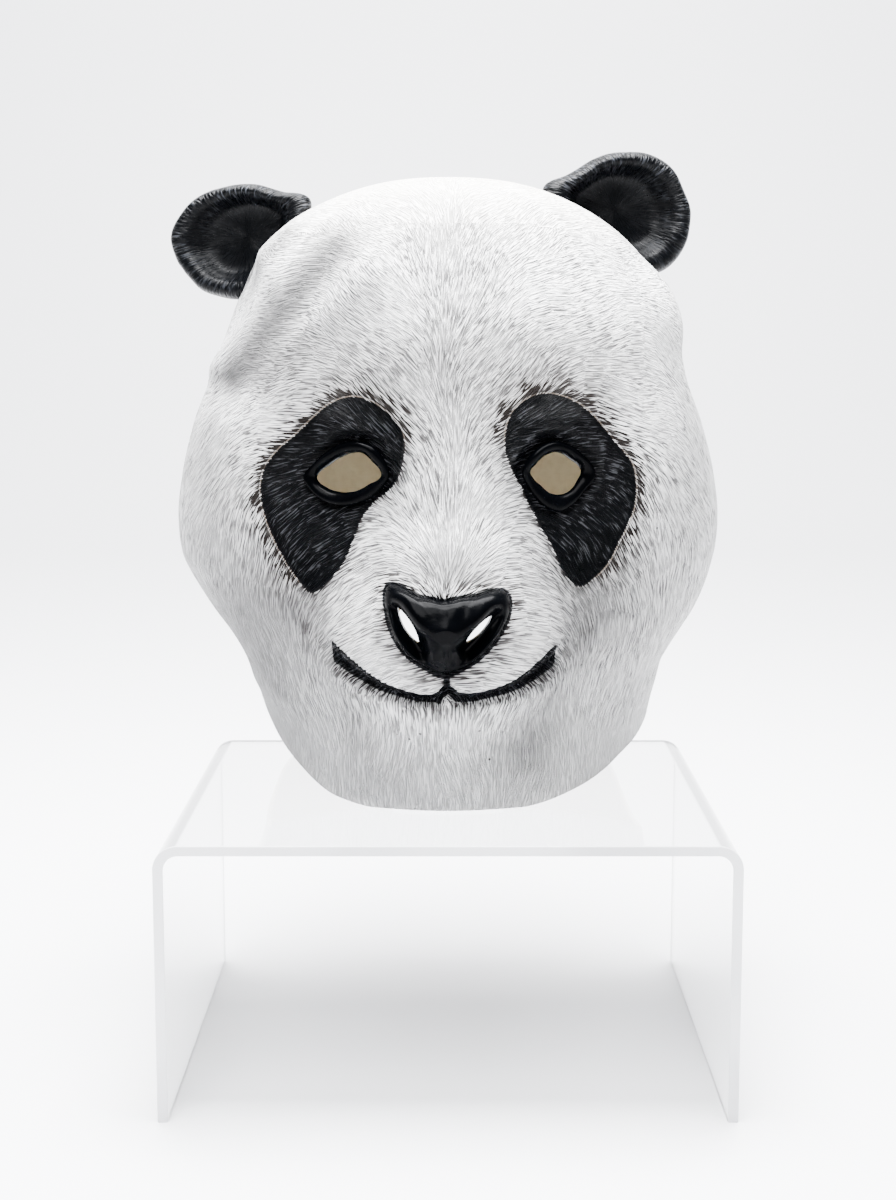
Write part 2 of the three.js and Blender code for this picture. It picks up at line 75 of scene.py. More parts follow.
HEAD_SECTIONS = table("height width front back", [
    (0.0, 0.72, 0.965, 0.37),
    (0.11, 0.725, 0.97, 0.4),
    (0.19, 0.79, 0.98, 0.5),
    (0.28, 0.92, 1.0, 0.68),
    (0.365, 0.984, 1.0, 0.84),
    (0.435, 1.0, 1.0, 0.93),
    (0.505, 0.983, 1.0, 0.98),
    (0.59, 0.943, 0.995, 1.0),
    (0.67, 0.908, 0.99, 1.0),
    (0.76, 0.93, 0.985, 0.98),
    (0.87, 0.955, 0.96, 0.95),
    (1.0, 0.95, 0.94, 0.92),
])
RIM_RISE = table("angle rise", [
    (0, 0), (21, 0), (36, 0.16), (52, 0.41), (63, 0.61), (74, 0.83),
    (90, 1.0), (106, 0.72), (121, 0.22), (133, 0), (180, 0),
])

# Rounded forms of the face, in shares of the half width, the height and the front reach
FACE_FORMS = {
    "muzzle": (0, 0.275, 0.5, 0.2, 0.24),
    "bridge": (0, 0.42, 0.24, 0.15, 0.05),
    "chin": (0, 0.085, 0.4, 0.105, 0.06),
    "left cheek": (-0.56, 0.25, 0.3, 0.14, 0.03),
    "right cheek": (0.56, 0.25, 0.3, 0.14, 0.03),
    "left socket": (-0.37, 0.51, 0.28, 0.11, -0.05),
    "right socket": (0.38, 0.51, 0.28, 0.11, -0.05),
    "left brow": (-0.33, 0.65, 0.3, 0.075, 0.03),
    "right brow": (0.33, 0.65, 0.3, 0.075, 0.03),
    "left temple dent": (-0.86, 0.79, 0.3, 0.12, -0.1),
    "right temple bulge": (0.84, 0.8, 0.22, 0.1, 0.04),
    "left jaw dent": (-0.9, 0.225, 0.45, 0.15, -0.055),
    "left neck dent": (-0.66, 0.05, 0.3, 0.12, -0.06),
    "right neck bulge": (0.74, 0.11, 0.2, 0.09, 0.035),
}
SKIN_FOLDS = {
    "valley": (-0.33, 0.87, -0.76, 0.65, 0.085, -0.045),
    "ridge": (-0.2, 0.83, -0.6, 0.62, 0.08, 0.022),
    "upper ridge": (-0.5, 0.9, -0.86, 0.7, 0.07, 0.03),
}

# The edge of each eye hole and the outer foot of its rolled lids
LIDS = {
    "left": dict(across=-41.5, up=141.5, hole=table("across up", [
        (-54.8, 140.0), (-49.5, 144.8), (-44.2, 148.3), (-39.6, 150.2), (-35.5, 150.4), (-31.3, 146.9),
        (-27.6, 141.2), (-32.6, 137.6), (-38.0, 134.6), (-44.3, 133.9), (-50.6, 135.5), (-53.9, 137.7),
    ]), foot=table("across up", [
        (-60.4, 139.6), (-55.8, 145.8), (-49.6, 151.2), (-44.0, 154.4), (-38.5, 155.4), (-31.0, 153.4),
        (-26.2, 147.8), (-24.2, 141.3), (-27.6, 135.6), (-35.6, 129.9), (-44.4, 128.2), (-53.2, 130.8),
        (-58.6, 135.6),
    ])),
    "right": dict(across=45.0, up=141.5, hole=table("across up", [
        (34.1, 142.7), (36.5, 145.8), (40.7, 149.4), (45.0, 150.4), (50.8, 147.3), (55.5, 142.3),
        (53.8, 138.0), (49.2, 133.4), (42.9, 133.4), (38.7, 136.7), (35.6, 139.6),
    ]), foot=table("across up", [
        (30.6, 142.4), (33.0, 148.2), (37.5, 152.6), (43.0, 155.0), (50.0, 153.7), (56.2, 149.2),
        (61.0, 143.6), (61.6, 139.6), (57.5, 134.6), (52.8, 129.2), (46.3, 125.8), (39.4, 128.6),
        (33.6, 135.6),
    ])),
}
LID_PROUD = 3.9
LID_ROOT = 7.0
LID_SEAT = -0.9
LID_LEAN = 0.22
LID_TAPER = 0.25

# Black patches round the eyes: reach in each direction from a middle point
PATCHES = {
    "left": dict(across=-46.8, up=134.7, outline=table("angle reach", [
        (-180, 32.6), (-152, 33.1), (-131, 36.0), (-115, 40.5), (-103, 44.3), (-94, 37.6), (-82, 29.2),
        (-69, 21.7), (-46, 16.0), (-14, 17.6), (8, 25.7), (23, 31.1), (40, 37.2), (60, 39.8),
        (77, 40.1), (91, 36.9), (107, 31.6), (126, 28.6), (146, 29.6), (163, 31.7), (180, 32.6),
    ])),
    "right": dict(across=51.7, up=136.2, outline=table("angle reach", [
        (-180, 21.3), (-149, 19.5), (-126, 22.1), (-109, 26.2), (-97, 35.0), (-86, 42.0), (-76, 39.7),
        (-64, 36.1), (-50, 31.5), (-34, 29.5), (-15, 28.5), (1, 27.9), (19, 27.6), (39, 26.0),
        (52, 26.6), (65, 28.6), (81, 33.2), (95, 37.5), (108, 40.9), (119, 41.5), (130, 40.2),
        (149, 33.3), (163, 27.0), (180, 21.3),
    ])),
}

# Nose: heart-shaped edge, and the ridges and hollows that give it its form
NOSE_ACROSS = -0.5
NOSE_UP = 83.0
NOSE_PROUD = 6.2
NOSE_EDGE = table("across up", [
    (-24.2, 98.4), (-25.6, 93.6), (-24.8, 87.0), (-22.8, 80.0), (-18.6, 73.0), (-10.0, 66.4),
    (-1.5, 62.8), (6.2, 65.8), (16.5, 73.6), (22.3, 81.4), (25.0, 88.5), (24.7, 93.8),
    (21.2, 96.8), (10.5, 95.0), (-1.5, 93.4), (-12.0, 94.8), (-19.0, 98.2),
])
NOSE_RIDGES = [((-20.5, 94.5), (-6.0, 80.0)), ((20.0, 93.0), (4.5, 80.0)), ((-0.8, 82.0), (-1.0, 67.5))]
NOSE_HOLLOWS = [((-20.8, 89.5), (-11.0, 73.0)), ((19.2, 87.0), (7.4, 73.6))]

NOSTRILS = {
    "left": dict(across=-15.9, up=83.2, length=16.6, width=4.1, tilt=120),
    "right": dict(across=12.3, up=82.0, length=15.4, width=3.7, tilt=47),
}

EARS = {
    "left": dict(across=-0.757, back=0.13, up=0.905, long=1.09, high=0.81, roll=-25, yaw=-20,
                 outline=table("angle share", [
                     (-180, 1.0), (-160, 0.98), (-136, 1.0), (-112, 1.06), (-75, 1.0), (-30, 0.95),
                     (2, 1.06), (25, 0.86), (58, 0.85), (85, 0.95), (101, 1.05), (121, 1.12),
                     (141, 1.16), (165, 1.07), (180, 1.0),
                 ])),
    "right": dict(across=0.63, back=0.13, up=0.95, long=1.11, high=0.88, roll=10, yaw=18,
                  outline=table("angle share", [
                      (-180, 1.07), (-150, 0.95), (-100, 1.0), (-52, 1.12), (-34, 1.11), (-16, 1.06),
                      (3, 1.03), (42, 1.04), (62, 1.05), (79, 1.02), (94, 0.95), (121, 0.86),
                      (154, 0.87), (172, 1.06), (180, 1.07),
                  ])),
}
EAR_PROFILE = table("out forward", [
    (0.0, -0.14), (0.35, -0.11), (0.55, -0.02), (0.67, 0.17), (0.76, 0.33), (0.86, 0.38), (0.95, 0.29),
    (1.0, 0.07), (0.94, -0.18), (0.72, -0.42), (0.4, -0.6), (0.0, -0.64),
])

EAR_WAVE = 0.008
# Rim band (strength, place, width) where the ear's highlight is painted
EAR_RIM = (1.0, 0.9, 0.2)

# Lip line, with the notch under the nose
MOUTH_LINE = table("across up", [
    (-62, 87), (-47.7, 74.1), (-40.6, 68.2), (-33.6, 63), (-26.7, 58.8), (-20, 56.2), (-12.2, 54.2),
    (-5, 54.5), (-1.9, 57.7), (0.9, 57.9), (4.5, 55), (9.5, 54.4), (18.8, 56.4), (26.7, 59.5),
    (33.6, 64.1), (39.4, 68.9), (43.9, 72.8), (58, 85),
])
MOUTH_ENDS = (-48.0, 44.3)

# Lean of the fur from straight up, in degrees outward, by the place across the unrolled skin
FLOW_ACROSS = (0, 12, 25, 45, 70, 95, 130, 180, 270, 362)
FLOW_LEANS = {
    10: (180, 180, 180, 181, 183, 182, 180, 180, 180, 180),
    48: (180, 179, 178, 176, 181, 183, 180, 178, 178, 180),
    58: (90, 92, 108, 150, 178, 180, 178, 176, 176, 180),
    70: (88, 92, 110, 142, 174, 180, 176, 172, 175, 180),
    82: (60, 80, 106, 134, 172, 176, 170, 168, 174, 180),
    98: (6, 68, 96, 120, 168, 168, 162, 164, 173, 180),
    115: (0, 52, 90, 114, 152, 156, 154, 158, 172, 180),
    140: (0, 26, 58, 88, 108, 128, 140, 150, 170, 180),
    170: (0, 32, 48, 66, 86, 102, 120, 136, 166, 180),
    200: (0, 35, 50, 65, 79, 92, 106, 126, 162, 180),
    235: (0, 31, 46, 61, 75, 87, 98, 115, 155, 180),
    270: (0, 28, 44, 60, 72, 84, 95, 110, 150, 180),
}

# In what follows a soft band is (strength, place, width), and a soft spot is (across, up, reach across,
# reach up, strength). Lips and the fold between them: the roll is (rise, start, full height, reach)
LIP_ROLL = (2.4, -1.0, 1.8, 10.5)
LIP_GROOVE = (-3.0, -2.4, 2.3)
LOWER_LIP = (1.2, -9.0, 4.5)
LIP_LOBES = (9.0, 60.5, 7.0, 4.5, 1.2)
LIP_CLEFT = (-1.5, -0.5, 1.5)
LIP_CLEFT_FOOT = (55.0, 58.0)
LIP_CLEFT_TOP = (68.0, 64.0)
LIP_END_FADE = 4.0
LIP_BACKING = (-3.4, -2.0, 7.5)
LIP_BACKING_FADE = 8.0

# Fine relief round the eyes and up the forehead
PATCH_STEP = (-0.7, 1.5)
PATCH_EDGE = (0.45, 0.0, 0.8)
LID_CREASE = (-1.5, 0.6, 1.8)
LID_FOLD = (1.1, 4.6, 2.2)
LID_BACKING = (-1.8, 0.6, 4.5)
BROW_SEAM = (-0.5, 0.0, 0.9)
BROW_SEAM_FOOT = (150.0, 165.0)
BROW_SEAM_TOP = (215.0, 200.0)

# Where distances are worked out on the face: half width, foot and top; beyond it they count as far
EYE_REGION = (110.0, 70.0, 200.0)
NOSE_REGION = (60.0, 30.0, 140.0)
LIP_REGION = (62.0, 100.0)
FACE_EDGE = -20.0
FAR = 60.0

# The nose's sides, where the wash is weak: half width at the top, height of the top, flare below it
NOSE_SIDE = (30.0, 150.0, 0.62)

# Ripples of the soft skin, and where all relief fades out at the sides and over the crown
RIPPLES = 0.6
RELIEF_SIDE = (-0.3, 0.3)
RELIEF_CROWN = (0.0, 0.06)

# Nose forms
NOSE_RIDGE = (2.6, 0.0, 4.6)
NOSE_RIDGE_LIMIT = 3.4
NOSE_HOLLOW = (5.2, 0.0, 3.4)
NOSE_BULGE = (0.0, 87.0, 12.0, 7.0, 1.6)
NOSE_RIM = (1.8, 0.93, 0.06)
NOSE_GROOVE = (-0.8, 71.0, 1.3, 5.0, 2.2)
NOSE_GRAIN = 0.15
NOSE_SKIRT = 3.2
NOSE_EDGE_POWER = 7
NOSE_OPENING = -3.0
EYE_OPENING = 2.0

# How far each cutter reaches from front to back
EYE_CUT = (-160.0, -65.0)
NOSE_CUT = (-190.0, -90.0)
NOSTRIL_CUT = (-190.0, -60.0)
NAPE_CUT = (0.0, 150.0)

# Dark wash: soft spots on the skin, and its reach and fall-off from patches, nose, ears and mouth; the spot
# on the chin is painted shade on the downward-facing chin
WASH_WHISKERS = (9.0, 61.5, 9.0, 4.0, 0.75)
WASH_BROW = (48.0, 180.0, 42.0, 26.0, 0.33)
# painted shade on the chin, carried along with the wash
CHIN_SHADE_SPOT = (0.0, 28.0, 55.0, 20.0, 0.08)
WASH_PATCH = (9.5, 1.4)
WASH_NOSE = (6.5, 1.5)
WASH_EAR = (9.0, 1.2)
WASH_STRENGTH = 0.85
WASH_NOSE_SIDE = 0.62
WASH_MOUTH = (0.4, -7.0, 6.0)

# Black paint of the mouth, with its depth under the lip line, and the grey haze round the black
MOUTH_DEPTH = 3.2
MOUTH_DEPTH_ENDS = 5.2
MOUTH_DEPTH_MIDDLE = (1.6, 0.0, 11.0)
PHILTRUM = (1.0, -0.5, 1.5)
PHILTRUM_SMOKE = (0.85, -0.5, 3.2)
MOUTH_SMOKE = (1.0, 0.0, 3.0)
MOUTH_MIDDLE = -1.5
MOUTH_REACH = 44.0
PHILTRUM_FOOT = 55.0
PHILTRUM_TOP = 68.0
INK_REACH = 1.1
# reach of the painted shade under the lower half of the nose
NOSE_UNDERSHADE_REACH = 4.0
SMOKE_EAR = (3.0, 1.5)
SMOKE_PATCH = (0.85, 0.0, 2.2)
SPECK_CHIN = (5.0, 25.0, 45.0, 14.0, 1.0)
SPECK_NOSE = (0.0, 104.0, 20.0, 8.0, 1.0)

# Sweep and lamps, in metres: place, target, size and power
SWEEP_REACH = 9.0
SWEEP_WALL = 2.8
SWEEP_BEND = 0.9
SWEEP_HEIGHT = 3.4
SWEEP_COLOURS = ((0.86, 0.865, 0.88), (0.89, 0.89, 0.90))
WORLD_STRENGTH = 0.8
WORLD_COLOUR = (0.96, 0.97, 1.0, 1.0)
LIGHT_TINT = (0.975, 0.98, 1.0)
LAMPS = {
    "key": ((-0.22, -0.85, 1.35), (0, 0, 0.22), 0.7, 38.0),
    "top": ((0.0, 0.0, 1.1), (0, 0, 0.22), 0.7, 122.0),
    "wall": ((0.0, 1.0, 2.4), (0, 2.6, 0.9), 2.2, 290.0),
}

# Painted shade, grey mixed into the white where the face's folds, sockets, brows and undersides fall in
# shade: middle, reach each way and strength of soft spots; ends, width and strength of bands
SHADE_SPOTS = {
    "forehead": (-2, 200, 40, 20, 0.05),
    "left brow": (-38, 183, 34, 16, 0.62),
    "right brow": (42, 183, 34, 16, 0.62),
    "under left patch": (-61, 88, 24, 16, 0.26),
    "under right patch": (57, 92, 25, 19, 0.5),
    "over nose": (1, 106, 24, 8, 0.55),
    "left of nose": (-26, 82, 6, 12, 0.16),
    "right of nose": (26, 80, 7, 13, 0.2),
    "under nose": (0, 62, 20, 7, 0.2),
    "left chin": (-28, 14, 20, 12, 0.16),
    "right chin": (30, 20, 20, 14, 0.16),
    "left jaw": (-90, 60, 34, 48, 0.8),
    "right jaw": (72, 70, 34, 50, 0.26),
    "left temple": (-106, 142, 16, 36, 0.3),
    "right temple": (106, 140, 16, 44, 0.28),
}
SHADE_BANDS = {
    "fold": ((-48, 236), (-94, 182), 7.5, 1.0),
    "small fold": ((-70, 243), (-97, 214), 5.0, 0.5),
    "inner fold": ((-34, 216), (-78, 180), 8.0, 0.6),
    "left bridge": ((-15, 156), (-33, 102), 8.0, 0.2),
    "right bridge": ((18, 156), (37, 102), 8.0, 0.22),
    "left smile": ((-59, 84), (-38, 32), 9.0, 0.2),
    "right smile": ((56, 80), (33, 26), 11.0, 0.3),
}
SHADE_DEPTH = 1.9
SHADE_SIDE = (10.0, -30.0)

# Density of the skin's mesh
COLUMNS = 372
LOWER_ROWS = 136
UPPER_ROWS = 66
INNER_ROWS = 46
EAR_MESH = ((128, 84))
LID_MESH = ((150, 30))
NOSE_MESH = ((180, 60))
FRONT_DENSITY = 0.42
ROW_BREAK = 0.61

riser_low, riser_high = (Vector(corner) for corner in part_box("riser"))
CHIN_FRONT = HEAD_FRONT * HEAD_SECTIONS["front"][0]
ORIGIN = Vector((
    (riser_low.x + riser_high.x) / 2,
    riser_low.y + (CHIN_FRONT + CHIN_SETBACK) * MM,
    riser_high.z + SEAT_GAP * MM,
))


def smooth_step(low, high, value):
    share = np.clip((value - low) / (high - low), 0, 1)
    return share * share * (3 - 2 * share)


def read_table(rows, key, column, at):
    """Smooth curve through a table's column, with the slopes of its neighbours."""
    keys, values = rows[key], rows[column]
    last = len(keys) - 1
    low = np.clip(np.searchsorted(keys, at, side="right") - 1, 0, last - 1)
    high, before, after = low + 1, np.maximum(low - 1, 0), np.minimum(low + 2, last)
    span = keys[high] - keys[low]
    share = np.clip((at - keys[low]) / span, 0, 1)
    slope_low = (values[high] - values[before]) / (keys[high] - keys[before]) * span
    slope_high = (values[after] - values[low]) / (keys[after] - keys[low]) * span
    square, cube = share ** 2, share ** 3
    return ((2 * cube - 3 * square + 1) * values[low] + (cube - 2 * square + share) * slope_low
            + (3 * square - 2 * cube) * values[high] + (cube - square) * slope_high)


def cap_share(height):
    """The crown closes the head like one end of an egg."""
    start = CAP_START * HEAD_HEIGHT
    share = np.clip((height - start) / (HEAD_HEIGHT - start), 0, 1)
    return (1 - share ** CAP_POWER) ** (1 / CAP_POWER)


def rim_height(turn):
    return RIM_ARCH * np.maximum(read_table(RIM_RISE, "angle", "rise", np.degrees(np.abs(turn))), 0)


def form_rise(form, x, z):
    across, up, wide, tall, rise = form
    inside = np.maximum(1 - ((x - across * HEAD_HALF_WIDTH) / (wide * HEAD_HALF_WIDTH)) ** 2
                        - ((z - up * HEAD_HEIGHT) / (tall * HEAD_HEIGHT)) ** 2, 0)
    return rise * HEAD_FRONT * inside ** 2 * (2 - inside)


def near_segment(x, z, ends):
    """Distance to a straight piece of line."""
    (ax, az), (bx, bz) = ends
    dx, dz = bx - ax, bz - az
    share = np.clip(((x - ax) * dx + (z - az) * dz) / (dx * dx + dz * dz), 0, 1)
    return np.hypot(x - ax - share * dx, z - az - share * dz)


def spot(x, z, form):
    """A soft round spot: middle, reach each way and strength."""
    across, up, wide, tall, strength = form
    return strength * np.exp(-((x - across) / wide) ** 2 - ((z - up) / tall) ** 2)


def band(value, form):
    """A soft band: strength, place and width."""
    strength, place, width = form
    return strength * np.exp(-((value - place) / width) ** 2)


def fade(distance, reach, power=2.0):
    """1 up to a line, and falling off beyond it."""
    return np.exp(-(np.maximum(distance, 0) / reach) ** power)


def fold_rise(fold, x, z):
    *ends, wide, rise = fold
    ends = np.reshape(ends, (2, 2)) * (HEAD_HALF_WIDTH, HEAD_HEIGHT)
    return band(near_segment(x, z, ends), (rise * HEAD_FRONT, 0.0, wide * HEAD_HALF_WIDTH))


def mouth_height(x, z):
    """Distance above the lip line, square to it."""
    before, line, after = (read_table(MOUTH_LINE, "across", "up", x + step) for step in (-1, 0, 1))
    slope = (after - before) / 2
    return (z - line) / np.sqrt(1 + np.minimum(slope ** 2, 1.2))


def mouth_share(x, soft):
    """1 within the mouth's ends, fading over a soft width."""
    left, right = MOUTH_ENDS
    return smooth_step(left - soft, left + soft, x) * smooth_step(right + soft, right - soft, x)


def lip_rise(x, z):
    above = mouth_height(x, z)
    rise, start, full, reach = LIP_ROLL
    roll = rise * smooth_step(start, full, above) * fade(above, reach)
    cleft = band(x, LIP_CLEFT) * smooth_step(*LIP_CLEFT_FOOT, z) * smooth_step(*LIP_CLEFT_TOP, z)
    lips = roll + band(above, LIP_GROOVE) + band(above, LOWER_LIP) + spot(np.abs(x), z, LIP_LOBES) + cleft
    return mouth_share(x, LIP_END_FADE) * lips


def lip_backing(x, z):
    """The wall is thicker behind the lips, so that the groove stays closed."""
    return mouth_share(x, LIP_BACKING_FADE) * band(mouth_height(x, z), LIP_BACKING)


def signed_distance(outline, x, z):
    """Distance to a closed outline, negative inside it."""
    best = np.full(x.shape, 1e9)
    inside = np.zeros(x.shape, bool)
    for start, end in zip(outline, np.roll(outline, -1, axis=0)):
        best = np.minimum(best, near_segment(x, z, (start, end)))
        crosses = (start[1] > z) != (end[1] > z)
        dx, dz = end - start
        inside ^= crosses & (x < start[0] + (z - start[1]) * dx / (dz if dz else 1e-9))
    return np.where(inside, -best, best)


def reach_table(centre, points):
    """Reach in each direction from a middle point to a closed line of points, wrapped at both ends."""
    across, up = points["across"] - centre[0], points["up"] - centre[1]
    angle = np.degrees(np.arctan2(up, across))
    order = np.argsort(angle)
    angle, reach = angle[order], np.hypot(across, up)[order]
    return dict(angle=np.concatenate([angle[-3:] - 360, angle, angle[:3] + 360]),
                reach=np.concatenate([reach[-3:], reach, reach[:3]]))


def closed_line(centre, reaches, angle, grow=0.0):
    """Points of a closed line in the directions asked for."""
    reach = read_table(reaches, "angle", "reach", np.degrees(angle)) + grow
    return np.stack([centre[0] + reach * np.cos(angle), centre[1] + reach * np.sin(angle)], -1)


def turn_angles(count):
    return np.linspace(-np.pi, np.pi, count, endpoint=False)


NOSE_CENTRE = (NOSE_ACROSS, NOSE_UP)
NOSE_REACH = reach_table(NOSE_CENTRE, NOSE_EDGE)
LID_CENTRES = {side: (lid["across"], lid["up"]) for side, lid in LIDS.items()}
HOLE_REACH = {side: reach_table(LID_CENTRES[side], lid["hole"]) for side, lid in LIDS.items()}
FOOT_REACH = {side: reach_table(LID_CENTRES[side], lid["foot"]) for side, lid in LIDS.items()}
PATCH_OUTLINES = [closed_line((patch["across"], patch["up"]), patch["outline"], turn_angles(180))
                  for patch in PATCHES.values()]
LID_OUTLINES = [closed_line(LID_CENTRES[side], FOOT_REACH[side], turn_angles(60)) for side in LIDS]


def nose_outline(grow=0.0, count=120):
    return closed_line(NOSE_CENTRE, NOSE_REACH, turn_angles(count), grow)


def unevenness(x, z):
    """Slow waves of the soft skin."""
    waves = 0.35 * np.sin(x / 9.3 + 1.1) * np.sin(z / 11.7 + 0.4)
    waves += 0.5 * np.sin((x + 0.6 * z) / 21.0 + 2.0) * np.sin((z - 0.4 * x) / 17.0 + 1.0)
    return waves


def near_outlines(outlines, x, z, region, also=True):
    """Distance to the nearest outline, worked out only in a region of the face."""
    side, low, high = region
    near = (np.abs(x) < side) & (z > low) & (z < high) & also
    values = np.full(x.shape, FAR)
    values[near] = np.min([signed_distance(outline, x[near], z[near]) for outline in outlines], axis=0)
    return values


def fine_relief(x, z):
    """Relief finer than the solid's: lid folds, patch borders and the forehead's middle line."""
    patch, lid = (near_outlines(outlines, x, z, EYE_REGION) for outlines in (PATCH_OUTLINES, LID_OUTLINES))
    depth, edge = PATCH_STEP
    rise = RIPPLES * unevenness(x, z) + depth * smooth_step(edge, -edge, patch) + band(patch, PATCH_EDGE)
    rise += band(lid, LID_CREASE) + band(lid, LID_FOLD)
    return rise + band(x, BROW_SEAM) * smooth_step(*BROW_SEAM_FOOT, z) * smooth_step(*BROW_SEAM_TOP, z)


def lid_backing(x, z):
    """The wall is thicker behind the folds round the lids."""
    return band(near_outlines(LID_OUTLINES, x, z, EYE_REGION), LID_BACKING)


def relief(x, z, fine):
    rise = sum(form_rise(form, x, z) for form in FACE_FORMS.values())
    rise = rise + sum(fold_rise(fold, x, z) for fold in SKIN_FOLDS.values())
    if fine:
        return rise + lip_rise(x, z) + fine_relief(x, z)
    return rise + lip_backing(x, z) + lid_backing(x, z)


def head_points(turn, height, fine=True):
    """Points of the head's outside, by the turn from the chin and the height."""
    share = height / HEAD_HEIGHT
    cap = cap_share(height)
    front = np.cos(turn) > 0
    width = HEAD_HALF_WIDTH * cap * read_table(HEAD_SECTIONS, "height", "width", share)
    reach = cap * np.where(front, HEAD_FRONT * read_table(HEAD_SECTIONS, "height", "front", share),
                           HEAD_BACK * read_table(HEAD_SECTIONS, "height", "back", share))
    across, forward = np.sin(turn), np.cos(turn)
    power = np.abs(across) ** SECTION_POWER + np.abs(forward) ** SECTION_POWER
    scale = power ** (-1 / SECTION_POWER)
    x, y = width * scale * across, -reach * scale * forward
    normal_x = np.sign(across) * np.abs(scale * across) ** (SECTION_POWER - 1) * reach
    normal_y = -np.sign(forward) * np.abs(scale * forward) ** (SECTION_POWER - 1) * width
    length = np.hypot(normal_x, normal_y) + 1e-9
    rise = smooth_step(*RELIEF_SIDE, forward) * relief(x, height, fine) * smooth_step(*RELIEF_CROWN, cap)
    return np.stack([x + normal_x / length * rise, y + normal_y / length * rise, height], -1)


def inner_points(turn, height):
    """The same surface moved in through the wall, square to the skin."""
    low = np.minimum(height, HEAD_HEIGHT - 1)
    across = head_points(turn + 0.02, low, False) - head_points(turn - 0.02, low, False)
    up = head_points(turn, low + 1, False) - head_points(turn, low - 1, False)
    normal = np.cross(across, up)
    normal /= np.linalg.norm(normal, axis=-1, keepdims=True) + 1e-12
    return head_points(turn, height, False) - LATEX_WALL * normal


def face_points(x, z, fine=True):
    """Where the face stands at places seen from the front."""
    x, z = np.asarray(x, float), np.asarray(z, float)
    low, high = np.full(x.shape, -np.pi / 2), np.full(x.shape, np.pi / 2)
    for _ in range(26):
        middle = (low + high) / 2
        left = head_points(middle, z, fine)[..., 0] < x
        low, high = np.where(left, middle, low), np.where(left, high, middle)
    return head_points((low + high) / 2, z, fine)


def to_frame(points):
    return np.asarray(points) * MM + np.array(ORIGIN)


def new_object(name, places, faces, materials):
    """A mesh object from places in metres."""
    mesh = bpy.data.meshes.new(name)
    mesh.from_pydata(places, [], [list(map(int, face)) for face in faces])
    mesh.update()
    for material in materials:
        mesh.materials.append(material)
    made = bpy.data.objects.new(name, mesh)
    bpy.context.scene.collection.objects.link(made)
    return made


def new_piece(name, points, faces, materials, smooth=True):
    """A mesh object from points in the head's millimetres."""
    piece = new_object(name, to_frame(points).tolist(), faces, materials)
    if smooth:
        piece.data.shade_smooth()
    return piece


def local_points(mesh):
    """A mesh's points in the head's millimetres."""
    values = np.empty(len(mesh.vertices) * 3)
    mesh.vertices.foreach_get("co", values)
    return (values.reshape(-1, 3) - np.array(ORIGIN)) / MM


def grid_faces(columns, rows, start=0):
    """Quads of a closed grid stored column by column."""
    column, row = np.meshgrid(np.arange(columns), np.arange(rows - 1), indexing="ij")
    after = (column + 1) % columns
    corners = np.stack([column * rows + row, after * rows + row,
                        after * rows + row + 1, column * rows + row + 1], -1)
    return corners.reshape(-1, 4) + start


def row_ends(columns, rows, row, start=0):
    """Numbers of the points in a grid's row, and of the points after them."""
    column = np.arange(columns)
    return start + column * rows + row, start + (column + 1) % columns * rows + row


def fan(columns, rows, row, tip, start=0, flip=False):
    """Triangles from a grid's row to one point."""
    near, far = row_ends(columns, rows, row, start)
    return np.stack([far, near, np.full(columns, tip)] if flip else [near, far, np.full(columns, tip)], 1)


def column_turns(columns):
    share = 2 * np.arange(columns) / columns - 1
    return np.pi * (FRONT_DENSITY * share + (1 - FRONT_DENSITY) * share ** 3)


def row_heights(foot, lower, upper):
    brow = ROW_BREAK * HEAD_HEIGHT
    rising = foot[:, None] + (brow - foot)[:, None] * np.arange(lower) / lower
    closing = brow + (HEAD_HEIGHT - brow) * np.sin(np.pi / 2 * np.arange(upper) / upper)
    return np.concatenate([rising, np.tile(closing, (len(foot), 1))], 1)


def skin_shell():
    """Outside, neck edge and inside of the latex as one closed mesh."""
    turns = column_turns(COLUMNS)
    foot = rim_height(turns)
    heights = row_heights(foot, LOWER_ROWS, UPPER_ROWS)
    outer = head_points(np.repeat(turns[:, None], heights.shape[1], 1), heights)
    low = row_heights(foot, INNER_ROWS * 2 // 3, INNER_ROWS // 3)
    inner = inner_points(np.repeat(turns[:, None], low.shape[1], 1), low)
    inner[:, 0, 2] = outer[:, 0, 2]
    rows, inner_rows = outer.shape[1], inner.shape[1]
    start = outer.shape[0] * rows
    points = np.concatenate([outer.reshape(-1, 3), inner.reshape(-1, 3),
                             [[0, 0, HEAD_HEIGHT], [0, 0, HEAD_HEIGHT - LATEX_WALL]]])
    ceiling = len(points) - 1
    near, far = row_ends(COLUMNS, rows, 0)
    rim = np.stack([far, near, *row_ends(COLUMNS, inner_rows, 0, start)], 1)
    outside = [*grid_faces(COLUMNS, rows), *fan(COLUMNS, rows, rows - 1, ceiling - 1)]
    under = fan(COLUMNS, inner_rows, inner_rows - 1, ceiling, start, flip=True)
    inside = [*grid_faces(COLUMNS, inner_rows, start)[:, ::-1], *under, *rim]
    return points, outside, inside


def prism(outline, from_y, to_y):
    """Points and faces of a cutter that runs along Y."""
    count = len(outline)
    points = [(x, y, z) for y in (from_y, to_y) for x, z in outline]
    sides = [(at, (at + 1) % count, count + (at + 1) % count, count + at) for at in range(count)]
    return points, [tuple(range(count))[::-1], tuple(range(count, 2 * count)), *sides]


def rotate(first, second, degrees):
    """A pair of coordinates, turned from the first towards the second."""
    turn = math.radians(degrees)
    return (first * math.cos(turn) - second * math.sin(turn),
            first * math.sin(turn) + second * math.cos(turn))


def slot_outline(length, width, tilt, steps=24):
    """A slot with round ends."""
    radius, reach = width / 2, (length - width) / 2
    angle = np.linspace(-np.pi / 2, np.pi / 2, steps)
    along = np.concatenate([reach + radius * np.cos(angle), -reach - radius * np.cos(angle)])
    across = np.concatenate([radius * np.sin(angle), -radius * np.sin(angle)])
    return np.stack(rotate(along, across, tilt), 1)


